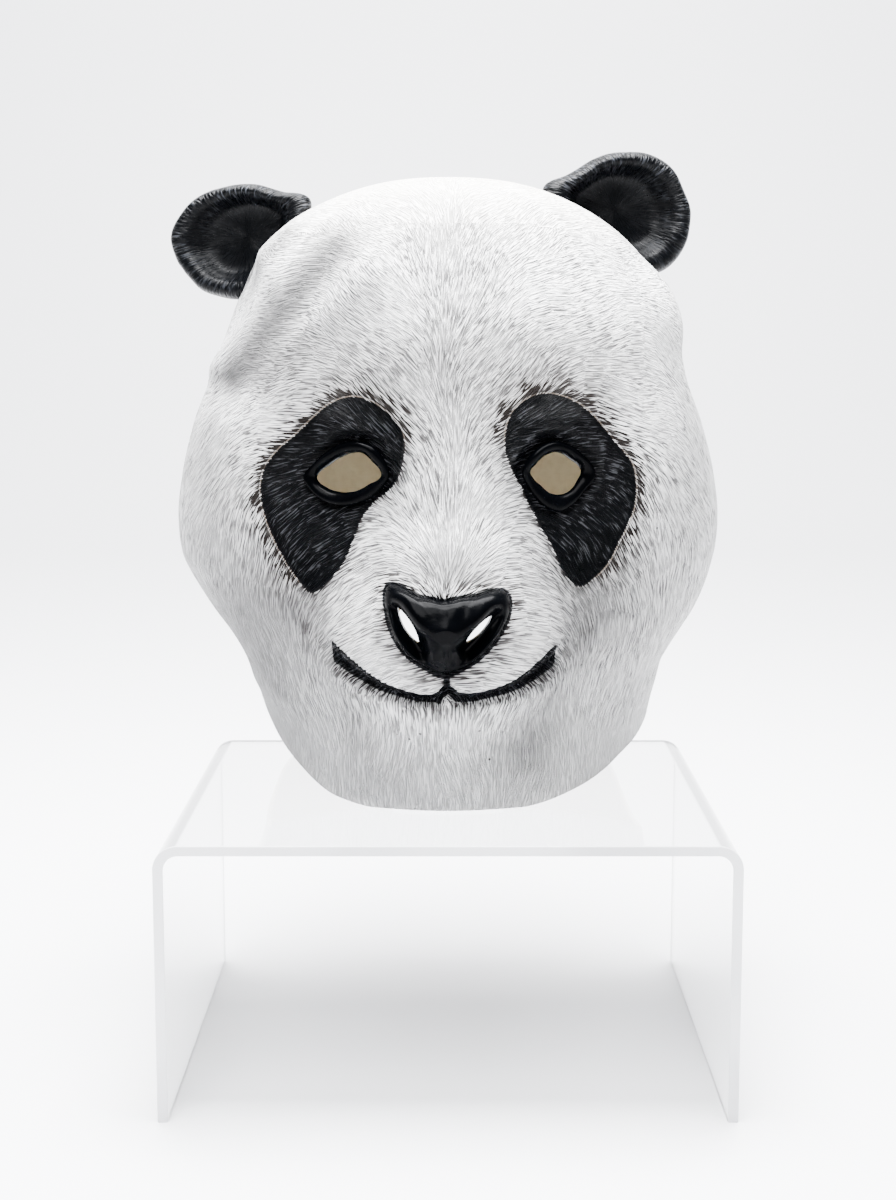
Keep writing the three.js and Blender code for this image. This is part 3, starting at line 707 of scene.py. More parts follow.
def leaf_outline(length, width, tilt, centre, steps=18):
    """A slit pointed at both ends."""
    share = np.linspace(-1, 1, steps)
    along = np.concatenate([share, share[-2:0:-1]]) * length / 2
    half = width / 2 * (1 - share ** 2) ** 0.8
    across = np.concatenate([half, -half[-2:0:-1]])
    return np.stack(rotate(along, across, tilt), 1) + centre


def cut_away(piece, cutters, material):
    """Cuts prisms out of a piece."""
    points, faces = [], []
    for cutter_points, cutter_faces in cutters:
        faces += [tuple(at + len(points) for at in face) for face in cutter_faces]
        points += cutter_points
    cutter = new_piece("cutter", points, faces, [material], smooth=False)
    fix_normals(cutter)
    cut = piece.modifiers.new("cut", "BOOLEAN")
    cut.operation = "DIFFERENCE"
    cut.object = cutter
    cut.solver = "EXACT"
    bpy.context.view_layer.update()
    graph = bpy.context.evaluated_depsgraph_get()
    result = bpy.data.meshes.new_from_object(piece.evaluated_get(graph), depsgraph=graph)
    piece.modifiers.remove(cut)
    old, name = piece.data, piece.data.name
    piece.data = result
    bpy.data.meshes.remove(old)
    result.name = name
    bpy.data.objects.remove(cutter)


# Fur: radius of the unrolled skin, stroke directions and their waver, and the maps of ears and crown
FUR_RADIUS = 115.0
EAR_MAP_RADIUS = EAR_RADIUS * 0.8
EAR_MAP_END = 60.0
FUR_DIRECTIONS = 12
FUR_WANDER = ((0.16, 9.0, 19.0), (0.12, -17.0, 8.0))
LANES = 4
CROWN_MAP_SHIFT = 400.0
CROWN_SLOPE = 0.74


def arc_height(z):
    """Length along the middle of the forehead, so that strokes keep their size on slopes."""
    heights = np.linspace(0, HEAD_HEIGHT - 0.01, 400)
    reach = HEAD_FRONT * cap_share(heights)
    steps = np.hypot(np.diff(heights), np.diff(reach))
    return np.interp(z, heights, np.concatenate([[0], np.cumsum(steps)]))


def flow_lean(across, z):
    """Lean of the strokes from straight up, outward, in radians."""
    rows = np.array([np.interp(np.abs(across), FLOW_ACROSS, row) for row in FLOW_LEANS.values()])
    heights = np.array(list(FLOW_LEANS), float)
    low = np.clip(np.searchsorted(heights, z, side="right") - 1, 0, len(heights) - 2)
    share = np.clip((z - heights[low]) / (heights[low + 1] - heights[low]), 0, 1)
    each = np.arange(len(across))
    return np.radians(rows[low, each] * (1 - share) + rows[low + 1, each] * share)


def flow_angle(points, crown):
    """Direction of the strokes in the unrolled skin; on the crown, in its own flat map."""
    x, y, z = points.T
    turn = np.arctan2(x, -y)
    across = FUR_RADIUS * turn
    lean = flow_lean(across, z)
    middle = smooth_step(0, 45, np.hypot(x, y))
    lean = np.where(crown, np.abs(turn) + (lean - np.abs(turn)) * middle, lean)
    wander = sum(size * np.sin(across / wide + z / tall) for size, wide, tall in FUR_WANDER)
    return np.pi / 2 - np.where(x < 0, -1, 1) * lean + wander + np.where(crown, turn, 0)


def add_point_values(mesh, name, values):
    layer = mesh.attributes.new(name, "FLOAT", "POINT")
    layer.data.foreach_set("value", np.ascontiguousarray(values, dtype=np.float32))


def add_direction_weights(mesh, angle):
    """How much each stroke direction counts at each point, four directions to a colour layer."""
    place = np.mod(angle, np.pi) / (np.pi / FUR_DIRECTIONS)
    away = np.abs(place[:, None] - np.arange(FUR_DIRECTIONS))
    weights = smooth_step(0.7, 0.3, np.minimum(away, FUR_DIRECTIONS - away)).astype(np.float32)
    for part in range(FUR_DIRECTIONS // LANES):
        layer = mesh.attributes.new(f"flow_{part}", "FLOAT_COLOR", "POINT")
        layer.data.foreach_set("color", weights[:, part * LANES:(part + 1) * LANES].ravel())


def corner_places(mesh):
    """The point and the face that each corner of a face belongs to."""
    corners = np.empty(len(mesh.loops), np.int32)
    mesh.loops.foreach_get("vertex_index", corners)
    counts = np.empty(len(mesh.polygons), np.int32)
    mesh.polygons.foreach_get("loop_total", counts)
    return corners, np.repeat(np.arange(len(counts)), counts)


def add_map(mesh, across, up):
    layer = mesh.uv_layers.new(name="fur")
    layer.data.foreach_set("uv", np.stack([across, up], 1).ravel().astype(np.float32))


def on_crown(parts):
    """Which points or faces look mostly up."""
    normals = np.empty(len(parts) * 3)
    parts.foreach_get("normal", normals)
    return np.abs(normals.reshape(-1, 3)[:, 2]) > CROWN_SLOPE


def add_fur_map(mesh, points):
    """The unrolled skin in millimetres; the crown has a map of its own."""
    corners, face_of = corner_places(mesh)
    x, y, z = points[corners].T
    crown = on_crown(mesh.polygons)[face_of]
    side = np.sign(np.bincount(face_of, x))[face_of]
    turn = np.arctan2(x, -y)
    turn = np.where((np.abs(turn) > 2) & (np.sign(turn) != side), turn + side * 2 * np.pi, turn)
    add_map(mesh, np.where(crown, x, FUR_RADIUS * turn), np.where(crown, y + CROWN_MAP_SHIFT, arc_height(z)))


def soft_shade(x, z):
    """Share of painted shade: grey mixed into the white paint where the face would fall in shade."""
    total = sum(spot(x, z, form) for form in SHADE_SPOTS.values())
    for start, end, wide, strength in SHADE_BANDS.values():
        total += band(near_segment(x, z, (start, end)), (strength, 0.0, wide))
    return 1 - np.exp(-SHADE_DEPTH * total)


def ear_centre(ear):
    return np.array([ear["across"] * HEAD_HALF_WIDTH, ear["back"] * HEAD_BACK, ear["up"] * HEAD_HEIGHT])


def near_ears(points):
    """Distance to the nearer ear's edge, in the ear's own proportions."""
    away = [np.linalg.norm((points - ear_centre(ear)) / (ear["long"], 0.75, ear["high"]), axis=1)
            for ear in EARS.values()]
    return np.minimum(*away) - EAR_RADIUS


def mouth_paint(x, z, mouth):
    """Black of the mouth and of the line under the nose, and the grey haze round them."""
    out = np.minimum(np.abs(x - MOUTH_MIDDLE) / MOUTH_REACH, 1)
    depth = MOUTH_DEPTH + MOUTH_DEPTH_ENDS * out ** 1.5 + band(x, MOUTH_DEPTH_MIDDLE)
    black = smooth_step(-depth - 0.9, -depth * 0.55, mouth) * smooth_step(0.6, -0.2, mouth)
    line = band(x, PHILTRUM) * smooth_step(PHILTRUM_FOOT, PHILTRUM_FOOT + 2, z) * (z < PHILTRUM_TOP)
    haze = mouth_share(x, 1.5) * band(mouth + depth, MOUTH_SMOKE)
    haze_line = band(x, PHILTRUM_SMOKE) * (z > PHILTRUM_FOOT) * (z < PHILTRUM_TOP - 1)
    return np.maximum(black * mouth_share(x, 0.8), line), np.maximum(haze, haze_line)


def paint_values(mesh, points):
    """Where the paint, the dark wash, the painted shade and the bare places are."""
    x, y, z = points.T
    face = y < FACE_EDGE
    patch = near_outlines(PATCH_OUTLINES, x, z, EYE_REGION, face)
    lips = face & (np.abs(x) < LIP_REGION[0]) & (z < LIP_REGION[1])
    mouth = np.where(lips, mouth_height(x, z), FAR)
    nose = near_outlines([nose_outline()], x, z, NOSE_REGION, face)
    ear = near_ears(points)
    black, haze = mouth_paint(x, z, mouth)
    half, top, flare = NOSE_SIDE
    nose_side = smooth_step(4, -4, np.abs(x) - half - flare * (top - z)) * smooth_step(top + 12, top, z)

    wash_and_shade = (1 - WASH_NOSE_SIDE * nose_side) * fade(patch, *WASH_PATCH)
    lip_wash = np.maximum(spot(np.abs(x), z, WASH_WHISKERS), band(mouth, WASH_MOUTH)) * lips
    # the chin spot among these is painted shade
    for part in (WASH_STRENGTH * fade(nose, *WASH_NOSE), WASH_STRENGTH * fade(ear, *WASH_EAR), lip_wash,
                 spot(np.abs(x), z, WASH_BROW), spot(x, z, CHIN_SHADE_SPOT)):
        wash_and_shade = np.maximum(wash_and_shade, part)
    ink = np.maximum(black * lips, fade(nose, INK_REACH)) * face
    soft_edge = nose_side * smooth_step(-0.6, 0.3, patch) * band(patch, SMOKE_PATCH)
    # grey haze round the mouth, and painted shade under the lower half of the nose
    smoke_and_shade = np.maximum(haze * lips, 0.8 * fade(nose, NOSE_UNDERSHADE_REACH) * smooth_step(86, 74, z))
    smoke_and_shade = np.maximum(np.maximum(smoke_and_shade, soft_edge) * face, 0.9 * fade(ear, *SMOKE_EAR))
    specks = np.maximum(spot(x, z, SPECK_CHIN), spot(x, z, SPECK_NOSE))
    values = {
        "patch": patch,
        # painted shade from the spots and bands, on the face's front only
        "shade": soft_shade(x, z) * smooth_step(*SHADE_SIDE, y),
        "wash_and_shade": wash_and_shade * face,
        "ink": ink,
        "smoke_and_shade": smoke_and_shade,
        "border": 1 - 0.9 * nose_side,
        "specks": np.where(face, np.clip(specks, 0.06, 1), 0),
    }
    for name, value in values.items():
        add_point_values(mesh, name, value if name == "patch" else np.clip(value, 0, 1))


class Wiring:
    """Short words for making a material's nodes."""

    def __init__(self, name):
        self.material = bpy.data.materials.new(name)
        self.material.use_nodes = True
        self.tree = self.material.node_tree
        self.tree.nodes.clear()
        self.shader = self.node("ShaderNodeBsdfPrincipled")
        self.output = self.node("ShaderNodeOutputMaterial")
        self.link(self.shader.outputs[0], self.output.inputs["Surface"])

    def node(self, kind, **settings):
        made = self.tree.nodes.new(kind)
        for key, value in settings.items():
            setattr(made, key, value)
        return made

    def link(self, source, target):
        if hasattr(source, "is_output"):
            self.tree.links.new(source, target)
        else:
            target.default_value = source

    def set(self, **values):
        for key, value in values.items():
            self.link(value, self.shader.inputs[key.replace("_", " ")])

    def math(self, operation, first, second=0.0, third=0.0, clamp=False):
        made = self.node("ShaderNodeMath", operation=operation, use_clamp=clamp)
        for socket, value in zip(made.inputs, (first, second, third)):
            self.link(value, socket)
        return made.outputs[0]

    def times(self, first, *others):
        for other in others:
            first = self.math("MULTIPLY", first, other)
        return first

    def plus(self, first, *others):
        for other in others:
            first = self.math("ADD", first, other)
        return first

    def span(self, value, low, high, to_low=0.0, to_high=1.0):
        made = self.node("ShaderNodeMapRange", interpolation_type="SMOOTHSTEP")
        for key, given in zip(("Value", "From Min", "From Max", "To Min", "To Max"),
                              (value, low, high, to_low, to_high)):
            self.link(given, made.inputs[key])
        return made.outputs["Result"]

    def mix(self, share, first, second, blend="MIX"):
        made = self.node("ShaderNodeMix", data_type="RGBA", blend_type=blend)
        self.link(share, made.inputs[0])
        for value, socket in ((first, made.inputs[6]), (second, made.inputs[7])):
            self.link((*value, 1.0) if isinstance(value, tuple) and len(value) == 3 else value, socket)
        return made.outputs[2]

    def attribute(self, name, output="Fac"):
        return self.node("ShaderNodeAttribute", attribute_name=name).outputs[output]

    def noise(self, vector, scale, detail=2.0, roughness=0.5, distortion=0.0, flat=False):
        made = self.node("ShaderNodeTexNoise", noise_dimensions="2D" if flat else "3D")
        self.link(vector, made.inputs["Vector"])
        for key, value in (("Scale", scale), ("Detail", detail), ("Roughness", roughness),
                           ("Distortion", distortion)):
            made.inputs[key].default_value = value
        return made.outputs["Fac"]

    def position(self):
        return self.node("ShaderNodeTexCoord").outputs["Object"]

    def rising(self, low, high, *ends):
        """A share that changes with the height over the riser."""
        split = self.node("ShaderNodeSeparateXYZ")
        self.link(self.position(), split.inputs[0])
        return self.span(split.outputs["Z"], ORIGIN.z + low * MM, ORIGIN.z + high * MM, *ends)

    def bump(self, height, strength, distance, normal=None):
        made = self.node("ShaderNodeBump")
        made.inputs["Strength"].default_value = strength
        made.inputs["Distance"].default_value = distance
        self.link(height, made.inputs["Height"])
        if normal is not None:
            self.link(normal, made.inputs["Normal"])
        return made.outputs[0]


# Length and width of the strokes' noise, in millimetres of the fur map
STROKE_LONG = 7.5
STROKE_WIDE = 0.62


def strokes(w, directions, long=STROKE_LONG, wide=STROKE_WIDE):
    """Stretched noise along each direction, weighed by the skin's flow: 0 in a cut, 1 between cuts."""
    uv = w.node("ShaderNodeUVMap", uv_map="fur").outputs[0]
    weights = [1.0] if directions == 1 else []
    for part in range(directions // LANES):
        layer = w.node("ShaderNodeAttribute", attribute_name=f"flow_{part}")
        split = w.node("ShaderNodeSeparateColor")
        w.link(layer.outputs["Color"], split.inputs[0])
        weights += [*split.outputs[:3], layer.outputs["Alpha"]]
    parts, squares = [], []
    for at, weight in enumerate(weights):
        along = w.node("ShaderNodeMapping", vector_type="TEXTURE")
        w.link(uv, along.inputs["Vector"])
        along.inputs["Location"].default_value = (31.0 * at, 17.0 * at, 0)
        along.inputs["Rotation"].default_value = (0, 0, math.pi * at / directions)
        along.inputs["Scale"].default_value = (long, wide, 1)
        cut = w.noise(along.outputs[0], 1.0, detail=1.0, roughness=0.4, distortion=0.45, flat=True)
        parts.append(w.times(w.math("SUBTRACT", cut, 0.5), weight))
        squares.append(w.times(weight, weight))
    spread = w.math("SQRT", w.math("MAXIMUM", w.plus(*squares), 0.05))
    return w.plus(w.math("DIVIDE", w.plus(*parts), spread), 0.5)


# Paints, as linear colours
WHITE = (0.86, 0.857, 0.85)
CREAM = (0.86, 0.80, 0.68)
# grey in the cuts: partly paint, partly painted shade in their grooves
CUT_GREY_AND_SHADE = (0.092, 0.089, 0.091)
WASH = (0.009, 0.007, 0.006)
BLACK = (0.0006, 0.0008, 0.0012)
# painted highlight on the stroke ridges in the black
PAINTED_RIDGE_HIGHLIGHT = (0.030, 0.031, 0.034)
BORDER = (0.13, 0.105, 0.085)
BEIGE = (0.66, 0.595, 0.45)
DUST = (0.62, 0.62, 0.63)
# grey of the painted shade
PAINTED_SHADE_GREY = (0.04, 0.039, 0.040)
STAIN = (0.16, 0.135, 0.12)
PIT = (0.05, 0.045, 0.045)
# grey haze: airbrushed round the mouth, patches and ears; painted shade under the nose
SMOKE_AND_SHADE = (0.02, 0.018, 0.018)
# painted highlight on the ears' stroke ridges
PAINTED_EAR_HIGHLIGHT = (0.040, 0.043, 0.050)

# Heights over the riser between which a share changes, and the share at both ends
CREAM_CROWN = (225, 270)
FEW_CUTS_CROWN = (262, 235, 0.25, 1.0)
FEW_CUTS_NECK = (10, 55, 0.3, 1.0)
FLAT_CROWN = (268, 236, 0.3, 1.0)

# Ends of the stroke pattern's value in cuts, stains, flecks and on ridges, where a highlight is painted
CUT = (0.455, 0.365)
DEEP = (0.56, 0.43)
FLECK = (0.58, 0.46, 0.6, 1.0)
RIDGE = (0.595, 0.645)
EAR_RIDGE = (0.53, 0.66)


def white_fur(w, place, fur, wash_and_shade, patch):
    """White paint with grey in the cuts, partly paint and partly painted shade in their grooves, painted
    shade from the shade map, and darker where the wash has run.
    """
    slow, patchy = w.noise(place, 28.0), w.noise(place, 70.0, detail=3.0)
    base = w.mix(w.times(w.rising(*CREAM_CROWN), slow, 0.8), WHITE, CREAM)
    base = w.mix(w.span(slow, 0.45, 0.75, 0.0, 0.12), base, DUST)
    # painted shade: the shade map greys the white where folds, sockets and undersides fall in shade
    base = w.mix(w.attribute("shade"), base, PAINTED_SHADE_GREY)
    calm = w.times(w.rising(*FEW_CUTS_CROWN), w.rising(*FEW_CUTS_NECK))
    # grey in the cuts: partly paint, partly painted shade in the grooves
    base = w.mix(w.times(w.span(fur, *CUT), calm, w.span(patchy, 0.35, 0.62, 0.4, 0.95)), base, CUT_GREY_AND_SHADE)
    base = w.mix(w.times(w.math("POWER", wash_and_shade, 2.0), 0.35), base, STAIN)
    stain = w.times(w.math("POWER", wash_and_shade, 0.9), w.span(patchy, 0.3, 0.55, 0.75, 1.3))
    base = w.mix(w.math("MULTIPLY", w.span(fur, *DEEP), stain, clamp=True), base, WASH)
    ragged = w.plus(patch, w.times(w.math("SUBTRACT", fur, 0.5), 15.0))
    halo = w.times(w.span(ragged, 4.6, 2.2), w.span(patch, 0.2, 0.5), w.attribute("border"), 0.95)
    return w.mix(halo, base, WASH)


def speckle(w, place, colour):
    """Small dark pits, most of them on the chin and over the nose."""
    cells = w.node("ShaderNodeTexVoronoi", feature="F1")
    w.link(place, cells.inputs["Vector"])
    cells.inputs["Scale"].default_value = 210.0
    tint = w.node("ShaderNodeSeparateColor")
    w.link(cells.outputs["Color"], tint.inputs[0])
    chosen = w.math("GREATER_THAN", w.plus(tint.outputs[0], w.times(w.attribute("specks"), 0.5)), 1.02)
    return w.mix(w.times(w.span(cells.outputs["Distance"], 0.15, 0.09), chosen, 0.85), colour, PIT)


def skin_material():
    """White latex with cut strokes, a dark wash in them, painted shade, and the painted patches, with a
    painted highlight on the stroke ridges in the black.
    """
    w = Wiring("painted_latex")
    place = w.position()
    fur = strokes(w, FUR_DIRECTIONS)
    patch, wash_and_shade, ink, smoke_and_shade, border = map(w.attribute, ("patch", "wash_and_shade", "ink", "smoke_and_shade", "border"))
    patchy = w.noise(place, 110.0)
    fuzzy = w.times(w.math("SUBTRACT", fur, 0.5), 2.2)
    inside = w.span(w.plus(patch, fuzzy), 0.2, -0.2)
    base = speckle(w, place, white_fur(w, place, fur, wash_and_shade, patch))

    # painted highlight: grey on the strokes' ridges inside the black patches, where the lamps would catch
    # them
    ridge = w.times(w.span(fur, *RIDGE), w.span(patchy, 0.34, 0.5))
    colour = w.mix(inside, base, w.mix(w.times(ridge, w.span(patch, -1.0, -3.5), 0.9), BLACK, PAINTED_RIDGE_HIGHLIGHT))
    line = w.times(w.span(patch, 0.36, 0.12), w.span(patch, -0.36, -0.12), border)
    colour = w.mix(w.times(line, w.span(patchy, 0.35, 0.55, 0.2, 0.9)), colour, BORDER)
    # grey haze, with the painted shade under the nose
    colour = w.mix(w.math("MULTIPLY", smoke_and_shade, w.span(fur, *FLECK), clamp=True), colour, SMOKE_AND_SHADE)
    # the same painted highlight on the ridges in the black ink
    inked = w.mix(w.times(ridge, 0.6), BLACK, PAINTED_RIDGE_HIGHLIGHT)
    colour = w.mix(w.span(w.plus(ink, w.times(fuzzy, -0.12)), 0.3, 0.6), colour, inked)

    rough = w.math("SUBTRACT", w.span(inside, 0.0, 1.0, 0.46, 0.36), w.times(ink, 0.1))
    carved = w.plus(w.times(w.span(fur, 0.38, 0.52), 0.22), w.times(fur, 0.75))
    carved = w.times(carved, w.rising(*FLAT_CROWN))
    w.set(Base_Color=colour, Roughness=rough, Specular_IOR_Level=0.035)
    w.set(Normal=w.bump(carved, 1.0, 0.0033, w.bump(w.noise(place, 900.0), 0.10, 0.0003)))
    return w.material


def bare_material():
    """Bare beige latex, matte and slightly mottled."""
    w = Wiring("bare_latex")
    place = w.position()
    slow = w.noise(place, 22.0, detail=3.0)
    fine = w.noise(place, 320.0, detail=2.0)
    colour = w.mix(w.span(slow, 0.3, 0.7), BEIGE, (0.62, 0.56, 0.42))
    colour = w.mix(w.span(fine, 0.4, 0.7, 0.0, 0.2), colour, (0.45, 0.39, 0.28))
    w.set(Base_Color=colour, Roughness=w.span(fine, 0.3, 0.7, 0.55, 0.72), Specular_IOR_Level=0.35)
    w.set(Normal=w.bump(fine, 0.25, 0.0004))
    return w.material


def gloss_material():
    """Glossy black paint with fine brush grain."""
    w = Wiring("gloss_black")
    place = w.position()
    grain, slow = w.noise(place, 420.0, detail=2.5), w.noise(place, 60.0)
    colour = w.mix(w.span(slow, 0.4, 0.7, 0.0, 0.35), (0.0002, 0.0003, 0.0005), (0.0010, 0.0012, 0.0018))
    w.set(Base_Color=colour, Roughness=w.span(slow, 0.3, 0.7, 0.16, 0.28), Specular_IOR_Level=0.02)
    w.set(Normal=w.bump(w.plus(w.times(slow, 0.6), w.times(grain, 0.25)), 0.35, 0.0009))
    return w.material


def ear_material():
    """Satin black paint with a painted highlight on the strokes that fan out to the rim, strongest on the
    upper rim.
    """
    w = Wiring("ear_black")
    place = w.position()
    fur = strokes(w, 1, long=6.0, wide=0.9)
    rim = w.attribute("rim")
    broken = w.span(w.noise(place, 120.0), 0.4, 0.62)
    # painted highlight on the stroke ridges, weighed by the rim
    light = w.times(w.span(fur, *EAR_RIDGE), broken, w.plus(w.times(rim, 0.9), 0.04))
    colour = w.mix(light, BLACK, PAINTED_EAR_HIGHLIGHT)
    w.set(Base_Color=colour, Roughness=w.span(fur, 0.3, 0.7, 0.26, 0.42), Specular_IOR_Level=0.06)
    w.set(Normal=w.bump(w.times(fur, w.plus(w.times(rim, 0.8), 0.2)), 0.8, 0.0014))
    return w.material


def acrylic_material():
    """Clear acrylic with a breath of haze."""
    w = Wiring("clear_acrylic")
    haze = w.noise(w.position(), 18.0, detail=3.0)
    w.set(Base_Color=(0.985, 0.99, 0.995, 1.0), Roughness=w.span(haze, 0.3, 0.7, 0.0, 0.03), IOR=1.49)
    w.set(Transmission_Weight=1.0)
    return w.material


def sawn_edge_material():
    """The sheet's sawn edge: frosted, pale, with faint saw lines."""
    w = Wiring("acrylic_edge")
    place = w.position()
    slow = w.noise(place, 14.0, detail=2.0)
    lines = w.noise(place, 700.0, detail=1.0)
    colour = w.mix(w.span(slow, 0.35, 0.65), (0.52, 0.525, 0.54), (0.66, 0.665, 0.68))
    w.set(Base_Color=colour, Roughness=w.span(lines, 0.3, 0.7, 0.28, 0.42), Specular_IOR_Level=0.5)
    w.set(Normal=w.bump(lines, 0.15, 0.0003))
    return w.material


def ear_piece(name, ear, material):
    """One ear: a dished oval cup with a thick rim, sunk in the head on its lower side."""
    around, along = EAR_MESH
    profile = dict(step=np.linspace(0, 1, len(EAR_PROFILE["out"])), **EAR_PROFILE)
    at = np.linspace(0, 1, along)
    out = np.clip(read_table(profile, "step", "out", at), 0, None)
    forward = read_table(profile, "step", "forward", at)
    out[0] = out[-1] = 0
    turn, out = np.meshgrid(np.linspace(0, 2 * np.pi, around, endpoint=False), out, indexing="ij")
    heading = np.degrees(np.arctan2(-np.cos(turn), np.sin(turn)))
    wave = read_table(ear["outline"], "angle", "share", heading) + EAR_WAVE * np.sin(7 * turn + 2.0)
    radius = out * EAR_RADIUS * (1 + (wave - 1) * smooth_step(0.35, 0.95, out))
    depth = forward * EAR_DEPTH + 0.8 * out * np.sin(5 * turn + 1.0) + 0.5 * out ** 2 * np.sin(11 * turn)
    x, z = rotate(radius * ear["long"] * np.sin(turn), -radius * ear["high"] * np.cos(turn), -ear["roll"])
    x, y = rotate(x, -depth, ear["yaw"])
    points = np.stack([x, y, z], -1) + ear_centre(ear)
    inner = points[:, 1:-1].reshape(-1, 3)
    rows = along - 2
    faces = [*grid_faces(around, rows)[:, ::-1], *fan(around, rows, 0, len(inner)),
             *fan(around, rows, rows - 1, len(inner) + 1, flip=True)]
    piece = new_piece(name, np.concatenate([inner, points[:1, 0], points[:1, -1]]), faces, [material])
    mesh = piece.data
    # where the ear's highlight is painted: along the rim, more on its upper side where the top lamp falls; it
    # also deepens the bump
    rim = band(out, EAR_RIM) * (0.35 + 0.65 * smooth_step(-20, 15, z))
    add_point_values(mesh, "rim", np.concatenate([rim[:, 1:-1].ravel(), [0, 0]]))
    steps = np.hypot(np.diff(radius, axis=1, prepend=0), np.diff(depth, axis=1, prepend=0))
    mapped = np.stack([np.cumsum(steps, 1), turn * EAR_MAP_RADIUS], -1)[:, 1:-1].reshape(-1, 2)
    mapped = np.concatenate([mapped, [[0, 0], [EAR_MAP_END, 0]]])
    corners, face_of = corner_places(mesh)
    outward, round_rim = mapped[corners].T
    highest = np.zeros(len(mesh.polygons))
    np.maximum.at(highest, face_of, round_rim)
    whole = 2 * np.pi * EAR_MAP_RADIUS
    add_map(mesh, outward, round_rim + whole * (highest[face_of] - round_rim > whole / 2))
    return piece


def lid_piece(name, side, material):
    """Rolled lids: a bead from the hole's edge to its foot on the skin, thicker above the eye."""
    around, sides = LID_MESH
    angle = turn_angles(around)
    centre = LID_CENTRES[side]
    hole = closed_line(centre, HOLE_REACH[side], angle)
    foot = closed_line(centre, FOOT_REACH[side], angle)
    ground = face_points(foot[:, 0], foot[:, 1], fine=False)[:, 1] + LID_SEAT
    middle, half = (hole + foot) / 2, (foot - hole) / 2
    rise = np.sin(angle)
    proud = LID_PROUD * (0.5 + 0.5 * smooth_step(-0.1, 0.75, rise) + 0.15 * smooth_step(-0.2, -0.8, rise))
    half = half[:, None, :]
    turn = np.linspace(0, 2 * np.pi, sides, endpoint=False)
    front = np.sin(turn) > 0
    depth = np.where(front, np.abs(np.sin(turn)) ** 0.85 * proud[:, None], LID_ROOT * np.sin(turn))
    spread = np.cos(turn) * np.where(front, 1, 1 - LID_TAPER * np.abs(np.sin(turn)))
    lean = LID_LEAN * np.where(front, np.sin(turn), 0)
    plan = middle[:, None, :] + half * (spread + lean)[None, :, None]
    points = np.stack([plan[..., 0], ground[:, None] - depth, plan[..., 1]], -1)
    near, far = row_ends(around, sides, 0)
    wrap = np.stack([*row_ends(around, sides, sides - 1), far, near], 1)
    piece = new_piece(name, points.reshape(-1, 3), [*grid_faces(around, sides), *wrap], [material])
    fix_normals(piece)
    return piece


def nose_height(x, z, share):
    """How far the nose stands out: ridges from both corners, hollows round the nostrils, a thin rim."""
    edge = np.sqrt(np.maximum(1 - share ** NOSE_EDGE_POWER, 0))
    ridge = sum(band(near_segment(x, z, ends), NOSE_RIDGE) for ends in NOSE_RIDGES)
    hollow = sum(band(near_segment(x, z, ends), NOSE_HOLLOW) for ends in NOSE_HOLLOWS)
    rim = band(share, NOSE_RIM) * smooth_step(97, 88, z)
    foot = 0.55 + 0.45 * smooth_step(62, 84, z)
    grain = NOSE_GRAIN * np.sin(x * 1.1 + 2 * np.sin(z / 3)) * smooth_step(86, 92, z)
    body = NOSE_PROUD + np.minimum(ridge, NOSE_RIDGE_LIMIT) + spot(x, z, NOSE_BULGE) - spot(x, z, NOSE_GROOVE)
    return edge * (body * foot - hollow + rim + grain)


def nose_piece(gloss, bare):
    """The heart-shaped nose with its nostril slots."""
    around, rings = NOSE_MESH
    angle = np.repeat(turn_angles(around)[:, None], rings, 1)
    share = np.repeat(np.sin(np.linspace(0, np.pi / 2, rings + 1))[None, 1:], around, 0)
    edge = closed_line(NOSE_CENTRE, NOSE_REACH, angle)
    x, z = np.moveaxis(NOSE_CENTRE + (edge - NOSE_CENTRE) * share[..., None], -1, 0)
    base = face_points(x.ravel(), z.ravel(), fine=False)[:, 1].reshape(x.shape)
    front = np.stack([x, base - nose_height(x, z, share), z], -1)
    middle = face_points(np.array([NOSE_ACROSS]), np.array([NOSE_UP]), fine=False)[0]
    skirt = front[:, -1:] + (middle - front[:, -1:]) * 0.02 + (0, NOSE_SKIRT, 0)
    columns = np.concatenate([front, skirt], 1)
    tip = middle - (0, nose_height(NOSE_ACROSS, NOSE_UP, 0.0), 0)
    points = np.concatenate([columns.reshape(-1, 3), [tip, middle + (0, NOSE_SKIRT, 0)]])
    rows = rings + 1
    faces = [*grid_faces(around, rows), *fan(around, rows, 0, len(points) - 2, flip=True),
             *fan(around, rows, rings, len(points) - 1)]
    piece = new_piece("nose", points, faces, [gloss, bare])
    fix_normals(piece)
    slots = [prism(leaf_outline(slot["length"], slot["width"], slot["tilt"], (slot["across"], slot["up"])),
                   *NOSTRIL_CUT) for slot in NOSTRILS.values()]
    cut_away(piece, slots, gloss)
    piece.data.set_sharp_from_angle(angle=math.radians(50))
    return piece


def fix_normals(piece):
    work = bmesh.new()
    work.from_mesh(piece.data)
    bmesh.ops.recalc_face_normals(work, faces=work.faces)
    work.to_mesh(piece.data)
    work.free()


def mask_skin(painted, bare):
    """The whole latex skin with its eye holes, nose opening and nape slit."""
    points, outside, inside = skin_shell()
    piece = new_piece("skin", points, [*outside, *inside], [painted, bare])
    kinds = np.concatenate([np.zeros(len(outside), np.int32), np.ones(len(inside), np.int32)])
    piece.data.polygons.foreach_set("material_index", kinds)
    fix_normals(piece)
    cutters = [prism(closed_line(LID_CENTRES[side], HOLE_REACH[side], turn_angles(72), EYE_OPENING),
                     *EYE_CUT) for side in LIDS]
    cutters.append(prism(nose_outline(NOSE_OPENING, 96), *NOSE_CUT))
    cutters.append(prism(slot_outline(2 * SLIT_HEIGHT, SLIT_WIDTH, 90), *NAPE_CUT))
    cut_away(piece, cutters, bare)
    mesh = piece.data
    mesh.set_sharp_from_angle(angle=math.radians(60))
    local = local_points(mesh)
    add_fur_map(mesh, local)
    add_direction_weights(mesh, flow_angle(local, on_crown(mesh.vertices)))
    paint_values(mesh, local)
    return piece


